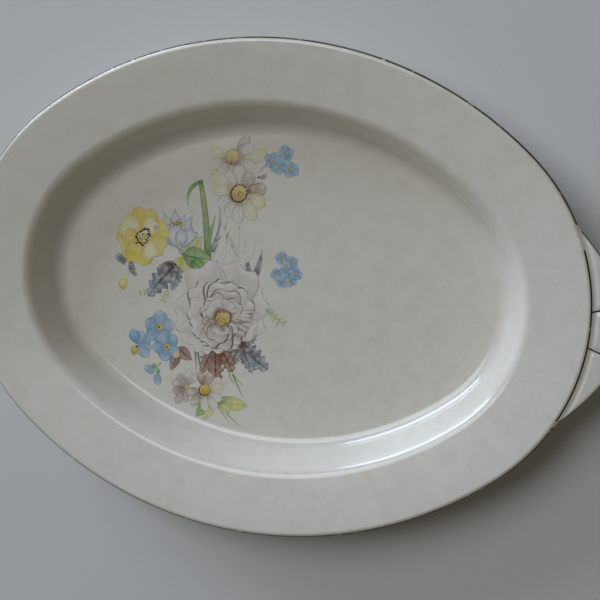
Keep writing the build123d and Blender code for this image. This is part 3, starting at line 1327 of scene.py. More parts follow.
LINE_SLOTS = {
    "rim_edge_line": "dull_platinum_line",
    "right_lug_edge_line": "dull_platinum_line",
    "left_lug_edge_line": "dull_platinum_line",
    "lug_root_lines": "black_line",
    "right_fan_lines": "black_line",
    "left_fan_lines": "black_line",
}

@dataclass
class PaintedLines:
    """The liner's work: the rim's edge, the lugs' edges, their roots and their fans."""

    platter: Platter
    lugs: LugHandles
    proud: float = 0.05
    paint: float = 0.04
    edge_from: float = -12.0
    edge_to: float = 52.0
    root_from: float = 38.0
    root_to: float = 62.0
    root_fade: float = 5.0
    gap: float = 1.0
    lug_edge_from: float = -14.0
    lug_edge_to: float = 46.0
    fan_half_width: float = 0.35
    fan_start: float = 0.2
    fan_stop: float = 1.2
    fan_steps: int = 40

    def arc_line(self, name: str, low: float, high: float, sweeps: Any) -> bpy.types.Object:
        """A line round the rim's nose, between two angles above level.

        Args:
            name: the object's name.
            low: lower angle, in degrees above level and outwards.
            high: upper angle.
            sweeps: where the line starts, in degrees from +X on the right end's arc, and
                each centre and sweep that it follows.

        Returns:
            The line as an open strip.
        """
        section = self.platter.section
        nose = self.platter.at(section.nose, section.nose_height)
        radius = (section.nose + self.proud) * MM
        first = math.radians(low)
        start = nose + Vector((math.cos(first), 0.0, math.sin(first))) * radius
        pen = Pen.start(name, start)
        turn = math.radians(high - low)
        pen.bend(nose, Vector((0.0, -1.0, 0.0)), turn, 8)
        bpy.ops.mesh.select_all(action="SELECT")
        begin, runs = sweeps
        centre = self.platter.oval.end_centre()
        bpy.ops.transform.rotate(
            value=-begin, orient_axis="Z", center_override=centre, orient_type="GLOBAL"
        )
        for around, sweep in runs:
            steps = max(2, round(math.degrees(sweep) / 1.5))
            bpy.ops.mesh.spin(steps=steps, angle=-sweep, center=around, axis=UP)
        put_down()
        return pen.piece

    def rim_edge(self) -> bpy.types.Object:
        """The edge line along both long sides, up to the lugs.

        Returns:
            The line as open strips.
        """
        oval, lugs = self.platter.oval, self.lugs
        root = math.asin(lugs.root_half_width / oval.end_radius) + math.radians(self.gap)
        free = oval.end_half_angle - root
        arcs = oval.arcs()
        runs = [(arcs[0][0], free), arcs[1], (arcs[2][0], free)]
        back = self.arc_line("rim_edge_band", self.edge_from, self.edge_to, (root, runs))
        front = duplicate(back, "front_edge_band")
        front.data.transform(HALF_TURN)
        return join("rim_edge_band", [back, front])

    def roots(self) -> bpy.types.Object:
        """The black lines where the two lugs leave the rim.

        Returns:
            The lines as open strips.
        """
        oval, lugs = self.platter.oval, self.lugs
        half = math.asin(lugs.root_half_width / oval.end_radius) - math.radians(self.gap)
        sweeps = (-half, [(oval.end_centre(), 2 * half - math.radians(self.root_fade))])
        right = self.arc_line("lug_root_bands", self.root_from, self.root_to, sweeps)
        left = duplicate(right, "left_root_band")
        left.data.transform(HALF_TURN)
        return join("lug_root_bands", [right, left])

    def lug_edge(self) -> bpy.types.Object:
        """The line round the right lug's outer edge.

        Returns:
            The line as an open strip.
        """
        lugs = self.lugs
        root = lugs.root_point(self.platter.oval.end_radius + 0.6)
        out = Vector((root.x, root.y, 0.0)) - Vector(
            (lugs.side_centre.x, -lugs.side_centre.y, 0.0)
        )
        out.normalize()
        turn_middle = Vector((root.x, root.y, 0.0)) - out * lugs.edge_round * MM
        turn_middle.z = (lugs.top - lugs.edge_round) * MM
        radius = (lugs.edge_round + self.proud) * MM
        low, high = math.radians(self.lug_edge_from), math.radians(self.lug_edge_to)
        start = turn_middle + (out * math.cos(low) + UP * math.sin(low)) * radius
        pen = Pen.start("right_lug_edge_band", start)
        pen.bend(turn_middle, out.cross(UP), high - low, 6)
        bpy.ops.mesh.select_all(action="SELECT")
        lugs.trace(pen, root)
        put_down()
        return pen.piece

    def fan(self) -> bpy.types.Object:
        """The two fine lines along the bottoms of the right lug's fan grooves.

        Returns:
            The lines as flat strips above the lug.
        """
        lugs, oval = self.lugs, self.platter.oval
        strips = []
        origin = Vector(((oval.half_length - lugs.fan_inset) * MM, 0.0, 0.0))
        height = (lugs.top - lugs.groove_depth + 0.3) * MM
        for side in (1, -1):
            way = side * math.radians(lugs.fan_angle)
            ahead = Vector((math.cos(way), math.sin(way), 0.0))
            across = Vector((-ahead.y, ahead.x, 0.0)) * self.fan_half_width * MM
            near = origin + ahead * (lugs.fan_inset + self.fan_start) * MM + UP * height
            end = lugs.fan_inset + lugs.reach - self.fan_stop
            far = origin + ahead * end * MM + UP * height
            pen = Pen.start("fan_line", near - across)
            pen.run(near + across, 4)
            bpy.ops.mesh.select_all(action="SELECT")
            step = (far - near) / self.fan_steps
            for _ in range(self.fan_steps):
                bpy.ops.mesh.extrude_region_move(TRANSFORM_OT_translate={"value": step})
            put_down()
            strips.append(pen.piece)
        return join("right_fan_bands", strips)

    def lay_on(self, strip: bpy.types.Object, lug: bpy.types.Object) -> None:
        """Lay a strip down on the lug's surface, a little proud of it.

        Args:
            strip: the open strip.
            lug: the lug that it is laid on.
        """
        apply_modifier(
            strip,
            "SHRINKWRAP",
            target=lug,
            wrap_method="NEAREST_SURFACEPOINT",
            wrap_mode="ABOVE_SURFACE",
            offset=self.proud * MM,
        )

    def thicken(self, strip: bpy.types.Object) -> None:
        """Give a strip the thickness of its paint, with its outer face where it is.

        Args:
            strip: the open strip.
        """
        face_outwards(strip)
        middle = Vector((0.0, 0.0, self.platter.section.floor_top * MM))
        away = sum(
            face.area * face.normal.dot(face.center - middle) for face in strip.data.polygons
        )
        if away < 0:
            turn_over(strip)
        apply_modifier(strip, "SOLIDIFY", thickness=self.paint * MM, offset=-1.0)

    def build(self, lug: bpy.types.Object) -> dict[str, bpy.types.Object]:
        """Draw every line.

        Args:
            lug: the right lug, which its lines are laid on.

        Returns:
            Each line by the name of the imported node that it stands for.
        """
        edge, fan = self.lug_edge(), self.fan()
        self.lay_on(edge, lug)
        self.lay_on(fan, lug)
        left_edge = duplicate(edge, "left_lug_edge_band")
        left_fan = duplicate(fan, "left_fan_bands")
        for piece in (left_edge, left_fan):
            piece.data.transform(MIRROR)
        lines = {
            "rim_edge_line": self.rim_edge(),
            "lug_root_lines": self.roots(),
            "right_lug_edge_line": edge,
            "left_lug_edge_line": left_edge,
            "right_fan_lines": fan,
            "left_fan_lines": left_fan,
        }
        for node, strip in lines.items():
            self.thicken(strip)
            self.platter.paint(strip, LINE_SLOTS[node])
        return lines


# --- The printed spray -----------------------------------------------------------------------


@dataclass(frozen=True)
class Outline:
    """A petal's or leaf's plan, from its foot to its tip, as a share of its own size.

    Widths are given at even steps from foot to tip.  Bow moves the middle sideways, by a
    share of the width, tooth cuts every other step back, and each notch is a place across
    the tip and how deep it is pulled in.
    """

    widths: tuple[float, ...]
    bow: float = 0.0
    tooth: float = 0.0
    notches: tuple[Point, ...] = ()
    rows: int = 16
    columns: int = 8

    def width(self, along: float) -> float:
        """The width at a share of the length, eased between the given steps.

        Args:
            along: the share of the length, 0 at the foot and 1 at the tip.

        Returns:
            The width, as a share of the full width.
        """
        place = along * (len(self.widths) - 1)
        index = min(int(place), len(self.widths) - 2)
        part = place - index
        before = self.widths[max(index - 1, 0)]
        first, second = self.widths[index], self.widths[index + 1]
        after = self.widths[min(index + 2, len(self.widths) - 1)]
        rise = (second - before) / 2
        fall = (after - first) / 2
        cubed = (2 * part**3 - 3 * part**2 + 1) * first + (part**3 - 2 * part**2 + part) * rise
        cubed += (3 * part**2 - 2 * part**3) * second + (part**3 - part**2) * fall
        return max(cubed, 0.004)


class Shape(Enum):
    """The plans that the spray's engraver drew with."""

    ROUND = Outline((0.14, 0.50, 0.80, 0.97, 1.0, 0.90, 0.62, 0.05))
    LONG = Outline((0.22, 0.48, 0.72, 0.90, 1.0, 0.97, 0.76, 0.08), notches=((0.5, 0.05),))
    FRILLED = Outline(
        (0.20, 0.55, 0.84, 0.98, 1.0, 0.97, 0.84, 0.44),
        notches=((0.18, 0.07), (0.42, 0.05), (0.70, 0.09)),
        columns=16,
    )
    CUPPED = Outline(
        (0.55, 0.85, 0.98, 1.0, 0.97, 0.90, 0.74, 0.36),
        notches=((0.25, 0.08), (0.55, 0.10), (0.80, 0.06)),
        columns=16,
    )
    POINTED = Outline((0.30, 0.62, 0.90, 1.0, 0.92, 0.70, 0.38, 0.02))
    FOLD = Outline((0.10, 0.60, 0.95, 1.0, 0.85, 0.60, 0.30, 0.02), bow=0.35)
    TOOTHED = Outline(
        (0.03, 0.62, 0.94, 1.0, 0.90, 0.70, 0.42, 0.01), bow=0.06, tooth=0.15, rows=20
    )
    LOBED = Outline(
        (0.03, 0.55, 0.80, 0.52, 1.0, 0.62, 0.98, 0.55, 0.78, 0.38, 0.46, 0.02),
        bow=0.05,
        rows=44,
    )
    BLADE = Outline((0.35, 0.70, 0.95, 1.0, 0.85, 0.62, 0.34, 0.02), bow=0.30)
    ARCHED = Outline((0.95, 1.0, 0.98, 0.92, 0.86, 0.80, 0.74, 0.60), bow=0.30, rows=14)
    CURLED = Outline((0.80, 1.0, 0.95, 0.80, 0.62, 0.42, 0.24, 0.02), bow=1.5, rows=24)
    DISC = Outline((0.02, 0.70, 0.92, 1.0, 1.0, 0.92, 0.70, 0.02))
    STROKE = Outline((0.8, 1.0, 0.9, 0.8, 0.7, 0.55, 0.40, 0.10), columns=2, rows=10)
    HOOKED = Outline((0.9, 1.0, 0.9, 0.8, 0.7, 0.55, 0.40, 0.10), bow=1.9, columns=2)


@dataclass(frozen=True)
class Laid:
    """Where a print already lies, so that the next one on it goes on top."""

    middle: Vector
    reach: float
    layer: int



@dataclass
class Spray:
    """The spray of flowers in the well, each petal a print of its own, in the drawing's mm."""

    platter: Platter
    fit: float
    layer_step: float = 0.006
    film: float = 0.005
    lift: float = 0.02
    masters: dict[Shape, bpy.types.Object] = field(default_factory=dict)
    enamels: dict[Wash, bpy.types.Material] = field(default_factory=dict)
    motifs: dict[str, list[bpy.types.Object]] = field(default_factory=dict)
    laid: list[Laid] = field(default_factory=list)
    chance: random.Random = field(default_factory=lambda: random.Random(7))
    current: str = ""

    @classmethod
    def from_frame(cls, platter: Platter) -> "Spray":
        """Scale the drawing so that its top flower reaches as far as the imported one."""
        drawn_top = 78.0
        return cls(platter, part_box("upper_daisy_transfer")[1].y / MM / drawn_top)

    def master(self, shape: Shape) -> bpy.types.Object:
        """The flat one-metre-long pattern of a shape, shaped row by row from a grid.

        Args:
            shape: the shape.

        Returns:
            The pattern, made once and kept.
        """
        if shape in self.masters:
            return self.masters[shape]
        outline = shape.value
        rows, columns = outline.rows, outline.columns
        put_down()
        bpy.ops.mesh.primitive_grid_add(x_subdivisions=columns, y_subdivisions=rows, size=1.0)
        pattern = bpy.context.object
        pattern.name = "pattern_" + shape.name.lower()
        bpy.ops.object.mode_set(mode="EDIT")
        bpy.ops.transform.translate(value=(0.0, 0.5, 0.0))
        for row in range(rows + 1):
            along = row / rows
            choose(pattern, lambda vertex, v=along: abs(vertex.co.y - v) < 0.1 / rows)
            width = outline.width(along)
            if outline.tooth and row % 2 and 0 < row < rows - 1:
                width *= 1 - outline.tooth
            bpy.ops.transform.resize(value=(width, 1.0, 1.0), center_override=(0.0, along, 0.0))
            shift = outline.bow * 4 * along * (1 - along)
            bpy.ops.transform.translate(value=(shift, 0.0, 0.0))
        for across, depth in outline.notches:
            self.notch_tip(pattern, outline, across, depth)
        put_down()
        pattern.hide_render = True
        self.masters[shape] = pattern
        return pattern

    def notch_tip(
        self, pattern: bpy.types.Object, outline: Outline, across: float, depth: float
    ) -> None:
        """Pull the tip in at one place, with what lies round it.

        Args:
            pattern: the pattern in edit mode.
            outline: its plan.
            across: where the notch is, as a share of the tip's width.
            depth: how far it goes in, as a share of the length.
        """
        column = round(across * outline.columns)
        place = (column / outline.columns - 0.5) * outline.width(1.0)
        near = 0.3 * outline.width(1.0) / outline.columns
        choose(
            pattern,
            lambda vertex: abs(vertex.co.x - place) < near and vertex.co.y > 0.99 - depth / 2,
        )
        bpy.ops.transform.translate(
            value=(0.0, -depth, 0.0),
            use_proportional_edit=True,
            proportional_edit_falloff="SMOOTH",
            proportional_size=3 * depth,
        )

    def enamel(self, wash: Wash) -> bpy.types.Material:
        """The material of a wash, made once.

        Args:
            wash: the wash.

        Returns:
            Its material.
        """
        if wash not in self.enamels:
            self.enamels[wash] = wash.value.material()
        return self.enamels[wash]

    def lay(
        self,
        shape: Shape,
        wash: Wash,
        foot: Point,
        angle: float,
        length: float,
        width: float,
        lean: float = 0.0,
        flip: bool = False,
    ) -> None:
        """Print one petal, leaf, dot or stroke.

        Args:
            shape: its plan.
            wash: its enamel.
            foot: where its foot is.
            angle: the way it points, in degrees from +X.
            length: from foot to tip.
            width: across.
            lean: sideways shear, as a share of the length.
            flip: True turns its plan over.
        """
        prints = self.motifs.setdefault(self.current, [])
        number = len(prints)
        piece = duplicate(self.master(shape), f"{self.current}_{number}")
        piece.hide_render = False
        way = math.radians(angle)
        ahead = Vector((math.cos(way), math.sin(way), 0.0))
        start = Vector((foot[0], foot[1], 0.0))
        middle = start + ahead * length / 2
        reach = (length + width) / 4
        under = [
            print_.layer
            for print_ in self.laid
            if (print_.middle - middle).length < print_.reach + reach
        ]
        layer = 1 + max(under, default=0)
        self.laid.append(Laid(middle, reach, layer))
        scale = self.fit * MM
        height = self.platter.section.floor_top + self.lift + self.layer_step * layer
        shear = Matrix.Identity(4)
        shear[0][1] = lean
        size = Matrix.Diagonal((width * (-1 if flip else 1), length, 1.0, 1.0))
        turn = Matrix.Rotation(way - math.pi / 2, 4, "Z")
        place = Matrix.Translation(start)
        whole = Matrix.Diagonal((scale, scale, 1.0, 1.0)) @ place @ turn @ size @ shear
        piece.data.transform(Matrix.Translation((0.0, 0.0, height * MM)) @ whole)
        for corner in piece.data.uv_layers[0].data:
            corner.uv.x = number + UV_MARGIN + (1 - 2 * UV_MARGIN) * corner.uv.x
        piece.data.materials.append(self.enamel(wash))
        prints.append(piece)

    def flower(
        self,
        shape: Shape,
        washes: Sequence[Wash],
        heart: Point,
        length: float,
        width: float,
        angles: Iterable[float],
        inset: float = 0.15,
        shade: Optional[Wash] = None,
    ) -> None:
        """Print a ring of petals round a heart, no two quite the same.

        Args:
            shape: the petals' plan.
            washes: one enamel for each petal, used in turn.
            heart: the flower's middle.
            length: a petal's length.
            width: a petal's width.
            angles: the way each petal points.
            inset: how far out a petal starts, as a share of its length.
            shade: enamel of the thin shadow that shows past each petal's edge, if any.
        """
        for number, angle in enumerate(angles):
            way = math.radians(angle)
            grow = self.chance.uniform(0.92, 1.08)
            foot = (
                heart[0] + math.cos(way) * inset * length,
                heart[1] + math.sin(way) * inset * length,
            )
            turned = angle + self.chance.uniform(-4, 4)
            long = length * (1 - inset) * grow
            wide = width * self.chance.uniform(0.92, 1.08)
            lean = self.chance.uniform(-0.12, 0.12)
            flip = self.chance.random() < 0.5
            if shade:
                self.lay(shape, shade, foot, turned + 2.5, long + 0.25, wide + 0.7, lean, flip)
            self.lay(shape, washes[number % len(washes)], foot, turned, long, wide, lean, flip)

    def dot(self, wash: Wash, at: Point, long: float, wide: float, angle: float = 90.0) -> None:
        """Print an oval dot, centred at a point.

        Args:
            wash: its enamel.
            at: its middle.
            long: its length.
            wide: its width.
            angle: the way its length points, in degrees.
        """
        way = math.radians(angle)
        foot = (at[0] - math.cos(way) * long / 2, at[1] - math.sin(way) * long / 2)
        self.lay(Shape.DISC, wash, foot, angle, long, wide)

    def stamens(self, wash: Wash, middle: Point, half: Point, tilt: float, count: int,
                size: float, inner: float = 0.55) -> None:
        """Scatter small dots over a tilted oval ring.

        Args:
            wash: the dots' enamel.
            middle: the ring's middle.
            half: the ring's half sizes along and across its tilt.
            tilt: the way its long side points, in degrees.
            count: how many dots.
            size: a dot's diameter.
            inner: where the ring begins, as a share of its size.
        """
        turn = math.radians(tilt)
        for number in range(count):
            way = 2 * math.pi * number / count + self.chance.uniform(-0.15, 0.15)
            out = self.chance.uniform(inner, 1.0)
            along, across = half[0] * out * math.cos(way), half[1] * out * math.sin(way)
            at = (
                middle[0] + along * math.cos(turn) - across * math.sin(turn),
                middle[1] + along * math.sin(turn) + across * math.cos(turn),
            )
            self.dot(wash, at, size * self.chance.uniform(0.8, 1.3), size, math.degrees(way))

    def stroke(self, wash: Wash, start: Point, end: Point, width: float,
               shape: Shape = Shape.STROKE, flip: bool = False) -> None:
        """Print a line or a narrow leaf from one point to another.

        Args:
            wash: its enamel.
            start: its foot.
            end: its tip.
            width: its width.
            shape: its plan.
            flip: True turns its plan over.
        """
        way = Vector((end[0] - start[0], end[1] - start[1]))
        angle = math.degrees(math.atan2(way.y, way.x))
        self.lay(shape, wash, start, angle, way.length, width, flip=flip)

    def stems(self) -> None:
        """The stems, the curled grass blade and the light sprigs, under all the rest."""
        self.current = "stem_transfer"
        stroke = self.stroke
        stroke(Wash.STEM, (-50, 9), (-62, 16), 1.0, Shape.HOOKED)
        stroke(Wash.STEM, (-51, 10), (-58, 19), 0.9, Shape.HOOKED, True)
        stroke(Wash.BLUE_LINE, (-53, 10), (-56, 20), 0.9)
        stroke(Wash.GRASS, (-39, -2), (-38.5, 16), 1.4)
        stroke(Wash.SEPIA_LINE, (-37, 1), (-27, 24), 0.9, Shape.HOOKED)
        stroke(Wash.SEPIA_LINE, (-36, 2), (-31, 22), 0.7)
        stroke(Wash.SEPIA_LINE, (-38, 14), (-32, 34), 0.9)
        stroke(Wash.SEPIA_LINE, (-36, 20), (-30, 33), 0.8, Shape.HOOKED)
        stroke(Wash.BLUE_LINE, (-38, 16), (-36, 44), 1.6, Shape.HOOKED)
        stroke(Wash.GRASS, (-38.6, 6), (-47.0, 53.4), 4.0, Shape.ARCHED)
        stroke(Wash.GRASS, (-40, 10), (-36.5, 36), 2.4, Shape.BLADE, True)
        stroke(Wash.GRASS, (-45.9, 53.4), (-52.6, 38), 2.5, Shape.CURLED)
        stroke(Wash.STEM, (-19, -51), (-11.5, -64), 1.0)
        stroke(Wash.STEM, (-21, -50), (-15, -58), 0.7, Shape.HOOKED)
        stroke(Wash.STEM, (-18, -52), (-12, -57), 0.6)
        stroke(Wash.STEM, (-27, -69), (-17, -80), 0.9)
        stroke(Wash.STEM, (-24, -69), (-9, -80.5), 0.8, Shape.HOOKED)
        for start, end in (((-42, -38), (-40, -52)), ((-40.5, -40), (-36.5, -55))):
            stroke(Wash.STEM, start, end, 1.3)
            stroke(Wash.SEPIA_LINE, start, end, 0.7)
        stroke(Wash.BLUE_LINE, (-3.5, 67), (-10, 66), 0.5)
        stroke(Wash.BLUE_LINE, (-10, 66), (-13, 75), 0.6, Shape.HOOKED)
        stroke(Wash.BLUE_LINE, (-10, 66), (-15, 60), 0.6)
        stroke(Wash.BLUE_LINE, (-83, 2), (-84, -6), 0.4, Shape.HOOKED)
        self.sprig((-4, -11), -48, 13.0)
        self.sprig((-3, -13), -30, 13.0)
        self.sprig((-66, -9), 200, 12.0)
        self.sprig((-60, -8), 250, 8.0)

    def sprig(self, root: Point, way: float, length: float) -> None:
        """A light-green sprig: a hair-fine stem with small leaves either side.

        Args:
            root: where its stem starts.
            way: the way it points, in degrees.
            length: its stem's length.
        """
        self.lay(Shape.HOOKED, Wash.SPRIG, root, way, length, 0.5)
        turn = math.radians(way)
        for number in range(1, 5):
            out = length * number / 4.4
            at = (root[0] + math.cos(turn) * out, root[1] + math.sin(turn) * out)
            for side in (1, -1):
                self.lay(Shape.POINTED, Wash.SPRIG, at, way + side * 58, 2.6, 1.3)

    def leaves(self) -> None:
        """The green, slate and russet leaves."""
        self.current = "green_leaf_transfer"
        self.stroke(Wash.LEMON_LEAF, (-53, 10), (-43.5, 23), 9.5, Shape.TOOTHED)
        self.stroke(Wash.LEMON_LEAF, (-52, 11), (-57, -2), 9.0, Shape.TOOTHED)
        self.stroke(Wash.LEMON_LEAF, (-52, 9), (-46, 0), 8.0, Shape.TOOTHED, True)
        self.stroke(Wash.GREEN, (-54, 12), (-37, 11), 13.0, Shape.TOOTHED)
        self.stroke(Wash.GREEN, (-49, 9), (-40, 3), 8.0, Shape.TOOTHED, True)
        self.stroke(Wash.GREEN, (-37, 15), (-28, 27), 3.6, Shape.BLADE)
        self.stroke(Wash.GREEN, (-26, -70), (-18, -64), 6.0, Shape.TOOTHED, True)
        self.stroke(Wash.LEMON_LEAF, (-22, -67), (-8.5, -67.5), 8.6, Shape.TOOTHED)
        self.stroke(Wash.LEMON_LEAF, (-25, -69), (-18, -73), 5.2, Shape.TOOTHED)
        self.stroke(Wash.GREEN, (-30, -68), (-38, -78), 7.4, Shape.TOOTHED)
        self.stroke(Wash.LEMON_LEAF, (-28, -69), (-34, -80), 5.0, Shape.TOOTHED, True)
        self.current = "dark_leaf_transfer"
        self.stroke(Wash.RUSSET, (-56, 5), (-67, 4), 7.0, Shape.TOOTHED, True)
        self.stroke(Wash.SLATE, (-57, 6), (-72, -14), 13.0, Shape.LOBED)
        self.stroke(Wash.SLATE, (-55, 5), (-58.5, -9), 7.0, Shape.LOBED, True)
        self.stroke(Wash.SLATE, (-16, -33), (-7, -26), 9.0, Shape.LOBED)
        self.stroke(Wash.SLATE, (-17, -34), (1, -46), 13.5, Shape.LOBED)
        self.stroke(Wash.SLATE, (-15, -36), (-8, -49), 8.0, Shape.LOBED, True)
        self.stroke(Wash.SLATE, (-17, -37), (-20, -47), 8.0, Shape.LOBED)
        self.stroke(Wash.SLATE, (-12.8, 0), (-8.5, 20), 3.6, Shape.BLADE)
        self.stroke(Wash.SLATE, (-12.5, 1), (-16.5, 16), 3.0, Shape.BLADE, True)
        self.stroke(Wash.SLATE, (-12.8, 0), (-4.5, -4), 2.4, Shape.CURLED)
        self.stroke(Wash.RUSSET, (-30, -37), (-37, -53), 9.5, Shape.LOBED)
        self.stroke(Wash.RUSSET, (-30, -38), (-27, -60), 10.0, Shape.LOBED)
        self.stroke(Wash.RUSSET, (-28, -37), (-19, -50), 10.5, Shape.LOBED, True)
        self.stroke(Wash.RUSSET, (-52, -40), (-43, -46.5), 7.5, Shape.TOOTHED)
        self.stroke(Wash.RUSSET, (-51, -44), (-55, -54), 6.0, Shape.TOOTHED)

    def poppy(self) -> None:
        """The yellow poppy-like flower, its dark stamens and its loose yellow bud."""
        self.current = "poppy_transfer"
        heart = (-78.0, 19.0)
        petals = (
            (Wash.POPPY, 24.0, 16.5, 12.0),
            (Wash.POPPY, 84.0, 17.5, 15.0),
            (Wash.POPPY, -28.0, 15.5, 11.5),
            (Wash.POPPY, 212.0, 16.5, 15.0),
            (Wash.POPPY, -98.0, 17.5, 16.0),
            (Wash.POPPY_PALE, 148.0, 16.0, 14.0),
            (Wash.POPPY_PALE, -62.0, 13.5, 10.5),
            (Wash.POPPY_PALE, 52.0, 12.5, 9.5),
            (Wash.POPPY, 180.0, 11.0, 9.0),
            (Wash.POPPY, 252.0, 11.5, 9.0),
        )
        for wash, angle, length, width in petals:
            self.flower(Shape.FRILLED, (wash,), heart, length, width, (angle,), 0.1)
        self.dot(Wash.POPPY_PALE, heart, 9.5, 6.5, 62)
        self.stamens(Wash.STAMEN, heart, (5.6, 3.9), 62, 34, 1.15, 0.62)
        self.dot(Wash.LEMON_LEAF, heart, 4.4, 3.2, 62)
        self.stamens(Wash.STAMEN, heart, (2.6, 1.8), 62, 7, 0.7, 0.5)
        self.dot(Wash.BLUE, (-70.5, 25.0), 3.0, 2.0, 60)

    def tulip(self) -> None:
        """The pale blue cup-shaped flower beside the poppy."""
        self.current = "tulip_transfer"
        base = (-57.6, 16.4)
        for angle, length, width in ((118, 19.5, 7.0), (66, 19, 6.5), (80, 18, 6), (98, 20, 8.5)):
            self.lay(Shape.POINTED, Wash.TULIP, base, angle, length, width)
        self.dot(Wash.LEMON_LEAF, (-58.2, 28.2), 5.0, 8.0)
        self.stamens(Wash.STAMEN, (-58.2, 28.6), (3.6, 1.2), 0, 8, 1.0, 0.3)
        self.stamens(Wash.GOLD_HEART, (-55.6, 27.4), (1.6, 1.2), 0, 4, 1.0, 0.3)
        self.lay(Shape.CUPPED, Wash.TULIP, (-56.2, 16.6), 46, 13.5, 7.5)
        self.lay(Shape.CUPPED, Wash.TULIP, (-59.0, 16.8), 122, 12.5, 7.5)
        self.lay(Shape.ROUND, Wash.TULIP, (-58.4, 15.8), 94, 12.0, 11.0)
        self.lay(Shape.ROUND, Wash.TULIP, (-56.6, 16.2), 74, 9.5, 7.5)

    def blue_flowers(self) -> None:
        """The forget-me-nots: two small clusters and the larger group at the lower left."""
        self.current = "forget_me_not_transfer"
        top = ((-0.2, 72.5), (3.6, 64.0), (-3.2, 65.0), (-7.0, 67.8))
        side = (
            (3.0, 16.0), (8.8, 14.0), (6.0, 9.6), (11.5, 8.2), (1.2, 6.6), (8.4, 4.4),
            (4.6, 3.8),
        )
        for places, reach in ((top, 4.9), (side, 4.0)):
            for number, place in enumerate(places):
                self.small_blue(place, reach, 18 + 23 * number)
        for place, reach, turn in (((-64, -30.4), 9.4, 20), ((-58.4, -41.0), 8.6, 50)):
            self.small_blue(place, reach, turn)
        angles = (38, 78, 112, -2, -38)
        self.flower(Shape.ROUND, (Wash.BLUE,), (-76.0, -42.0), 9.0, 6.2, angles, 0.05)
        self.dot(Wash.GOLD_HEART, (-77.5, -45.0), 6.0, 4.2, 80)
        self.dot(Wash.STAMEN, (-76.2, -43.0), 1.6, 1.2)
        self.dot(Wash.LEMON_LEAF, (-52.4, -44.5), 4.4, 3.6)

    def small_blue(self, heart: Point, reach: float, turn: float) -> None:
        """One five-petalled blue flower with a yellow eye.

        Args:
            heart: its middle.
            reach: a petal's length.
            turn: the way its first petal points, in degrees.
        """
        angles = [turn + 72 * number for number in range(5)]
        self.flower(Shape.ROUND, (Wash.BLUE,), heart, reach, reach * 0.86, angles, 0.12)
        eye = reach * 0.42
        self.dot(Wash.GOLD_HEART, heart, eye * 1.15, eye, turn)
        if reach > 6:
            self.stamens(Wash.RUST_DOT, heart, (eye * 0.42, eye * 0.35), turn, 5, 0.45, 0.8)
        self.dot(Wash.STAMEN, heart, eye * 0.34, eye * 0.3, turn)

    def peony(self) -> None:
        """The large cream peony, built outwards in from its loose petals to its heart."""
        self.current = "peony_transfer"
        heart = (-28.0, -21.0)
        outer = (
            (236, 24, 15), (208, 28.5, 15), (222, 24, 13), (181, 29, 17), (8, 25.5, 17),
            (34, 31, 21), (152, 29.5, 19), (64, 33.5, 24), (93, 32.5, 18), (120, 33.5, 23),
            (-18, 23, 15), (258, 20, 15), (286, 20, 17), (314, 19.5, 14),
        )
        for angle, length, width in outer:
            self.flower(Shape.FRILLED, (Wash.PEONY,), heart, length, width, (angle,), 0.15)
        middle = (
            (138, 25, 15), (168, 22, 13), (108, 23, 14), (44, 21.5, 14), (202, 19, 11),
            (74, 22, 17), (96, 21, 19), (226, 18, 11), (-42, 17.5, 10), (-66, 17.5, 12),
            (-92, 18, 14), (-116, 18, 12),
        )
        for angle, length, width in middle:
            wash = Wash.PEONY_INNER if angle < -30 else Wash.PEONY
            self.flower(
                Shape.FRILLED, (wash,), heart, length, width, (angle,), 0.2, Wash.PEONY_FOLD
            )
        for angle, length, width in (
            (24, 20, 4.4), (15, 19.5, 4), (6, 19, 3.6), (-3, 18.5, 3.4), (-12, 18, 3.6),
            (-22, 17.5, 4), (-31, 17, 4),
        ):
            self.flower(Shape.FOLD, (Wash.PEONY_FOLD,), heart, length, width, (angle,), 0.35)
            self.flower(
                Shape.FOLD, (Wash.PEONY,), heart, length - 0.5, width * 0.6, (angle + 4,), 0.3
            )
        inner = (
            (84, 16.5, 19), (122, 14.5, 13), (52, 14.5, 11), (152, 13, 11), (182, 11.5, 9),
            (210, 12, 9), (-48, 12, 8), (238, 13, 10), (-74, 13, 10), (-102, 13.5, 12),
        )
        for angle, length, width in inner:
            self.flower(
                Shape.CUPPED, (Wash.PEONY_INNER,), heart, length, width, (angle,), 0.25,
                Wash.PEONY_FOLD,
            )
        for angle, length in ((30, 12.5), (17, 12), (4, 11.5), (-9, 11), (-22, 11)):
            self.flower(Shape.FOLD, (Wash.PEONY_FOLD,), heart, length, 3.0, (angle,), 0.35)
            self.flower(Shape.FOLD, (Wash.PEONY,), heart, length - 0.4, 1.9, (angle + 5,), 0.3)
        self.flower(
            Shape.CUPPED, (Wash.PEONY,), (-28.4, -19.5), 9.5, 8.0, (62, 92, 126, 160), 0.3
        )
        self.dot(Wash.PEONY_FOLD, (-27.4, -20.8), 11.0, 9.4, 5)
        self.dot(Wash.GOLD_HEART, (-27.4, -21.2), 9.5, 7.6, 5)
        self.stamens(Wash.RUST_DOT, (-27.2, -20.0), (5.4, 3.9), 5, 26, 1.25, 0.75)
        self.stamens(Wash.GOLD_HEART, (-27.4, -21.8), (3.8, 2.6), 5, 15, 1.3, 0.2)
        self.stamens(Wash.STAMEN, (-27.0, -21.4), (3.8, 2.4), 5, 9, 0.5, 0.2)
        for angle in (-62, -92, -122):
            self.flower(Shape.CUPPED, (Wash.PEONY,), (-27.6, -24.0), 7.0, 5.5, (angle,), 0.25)

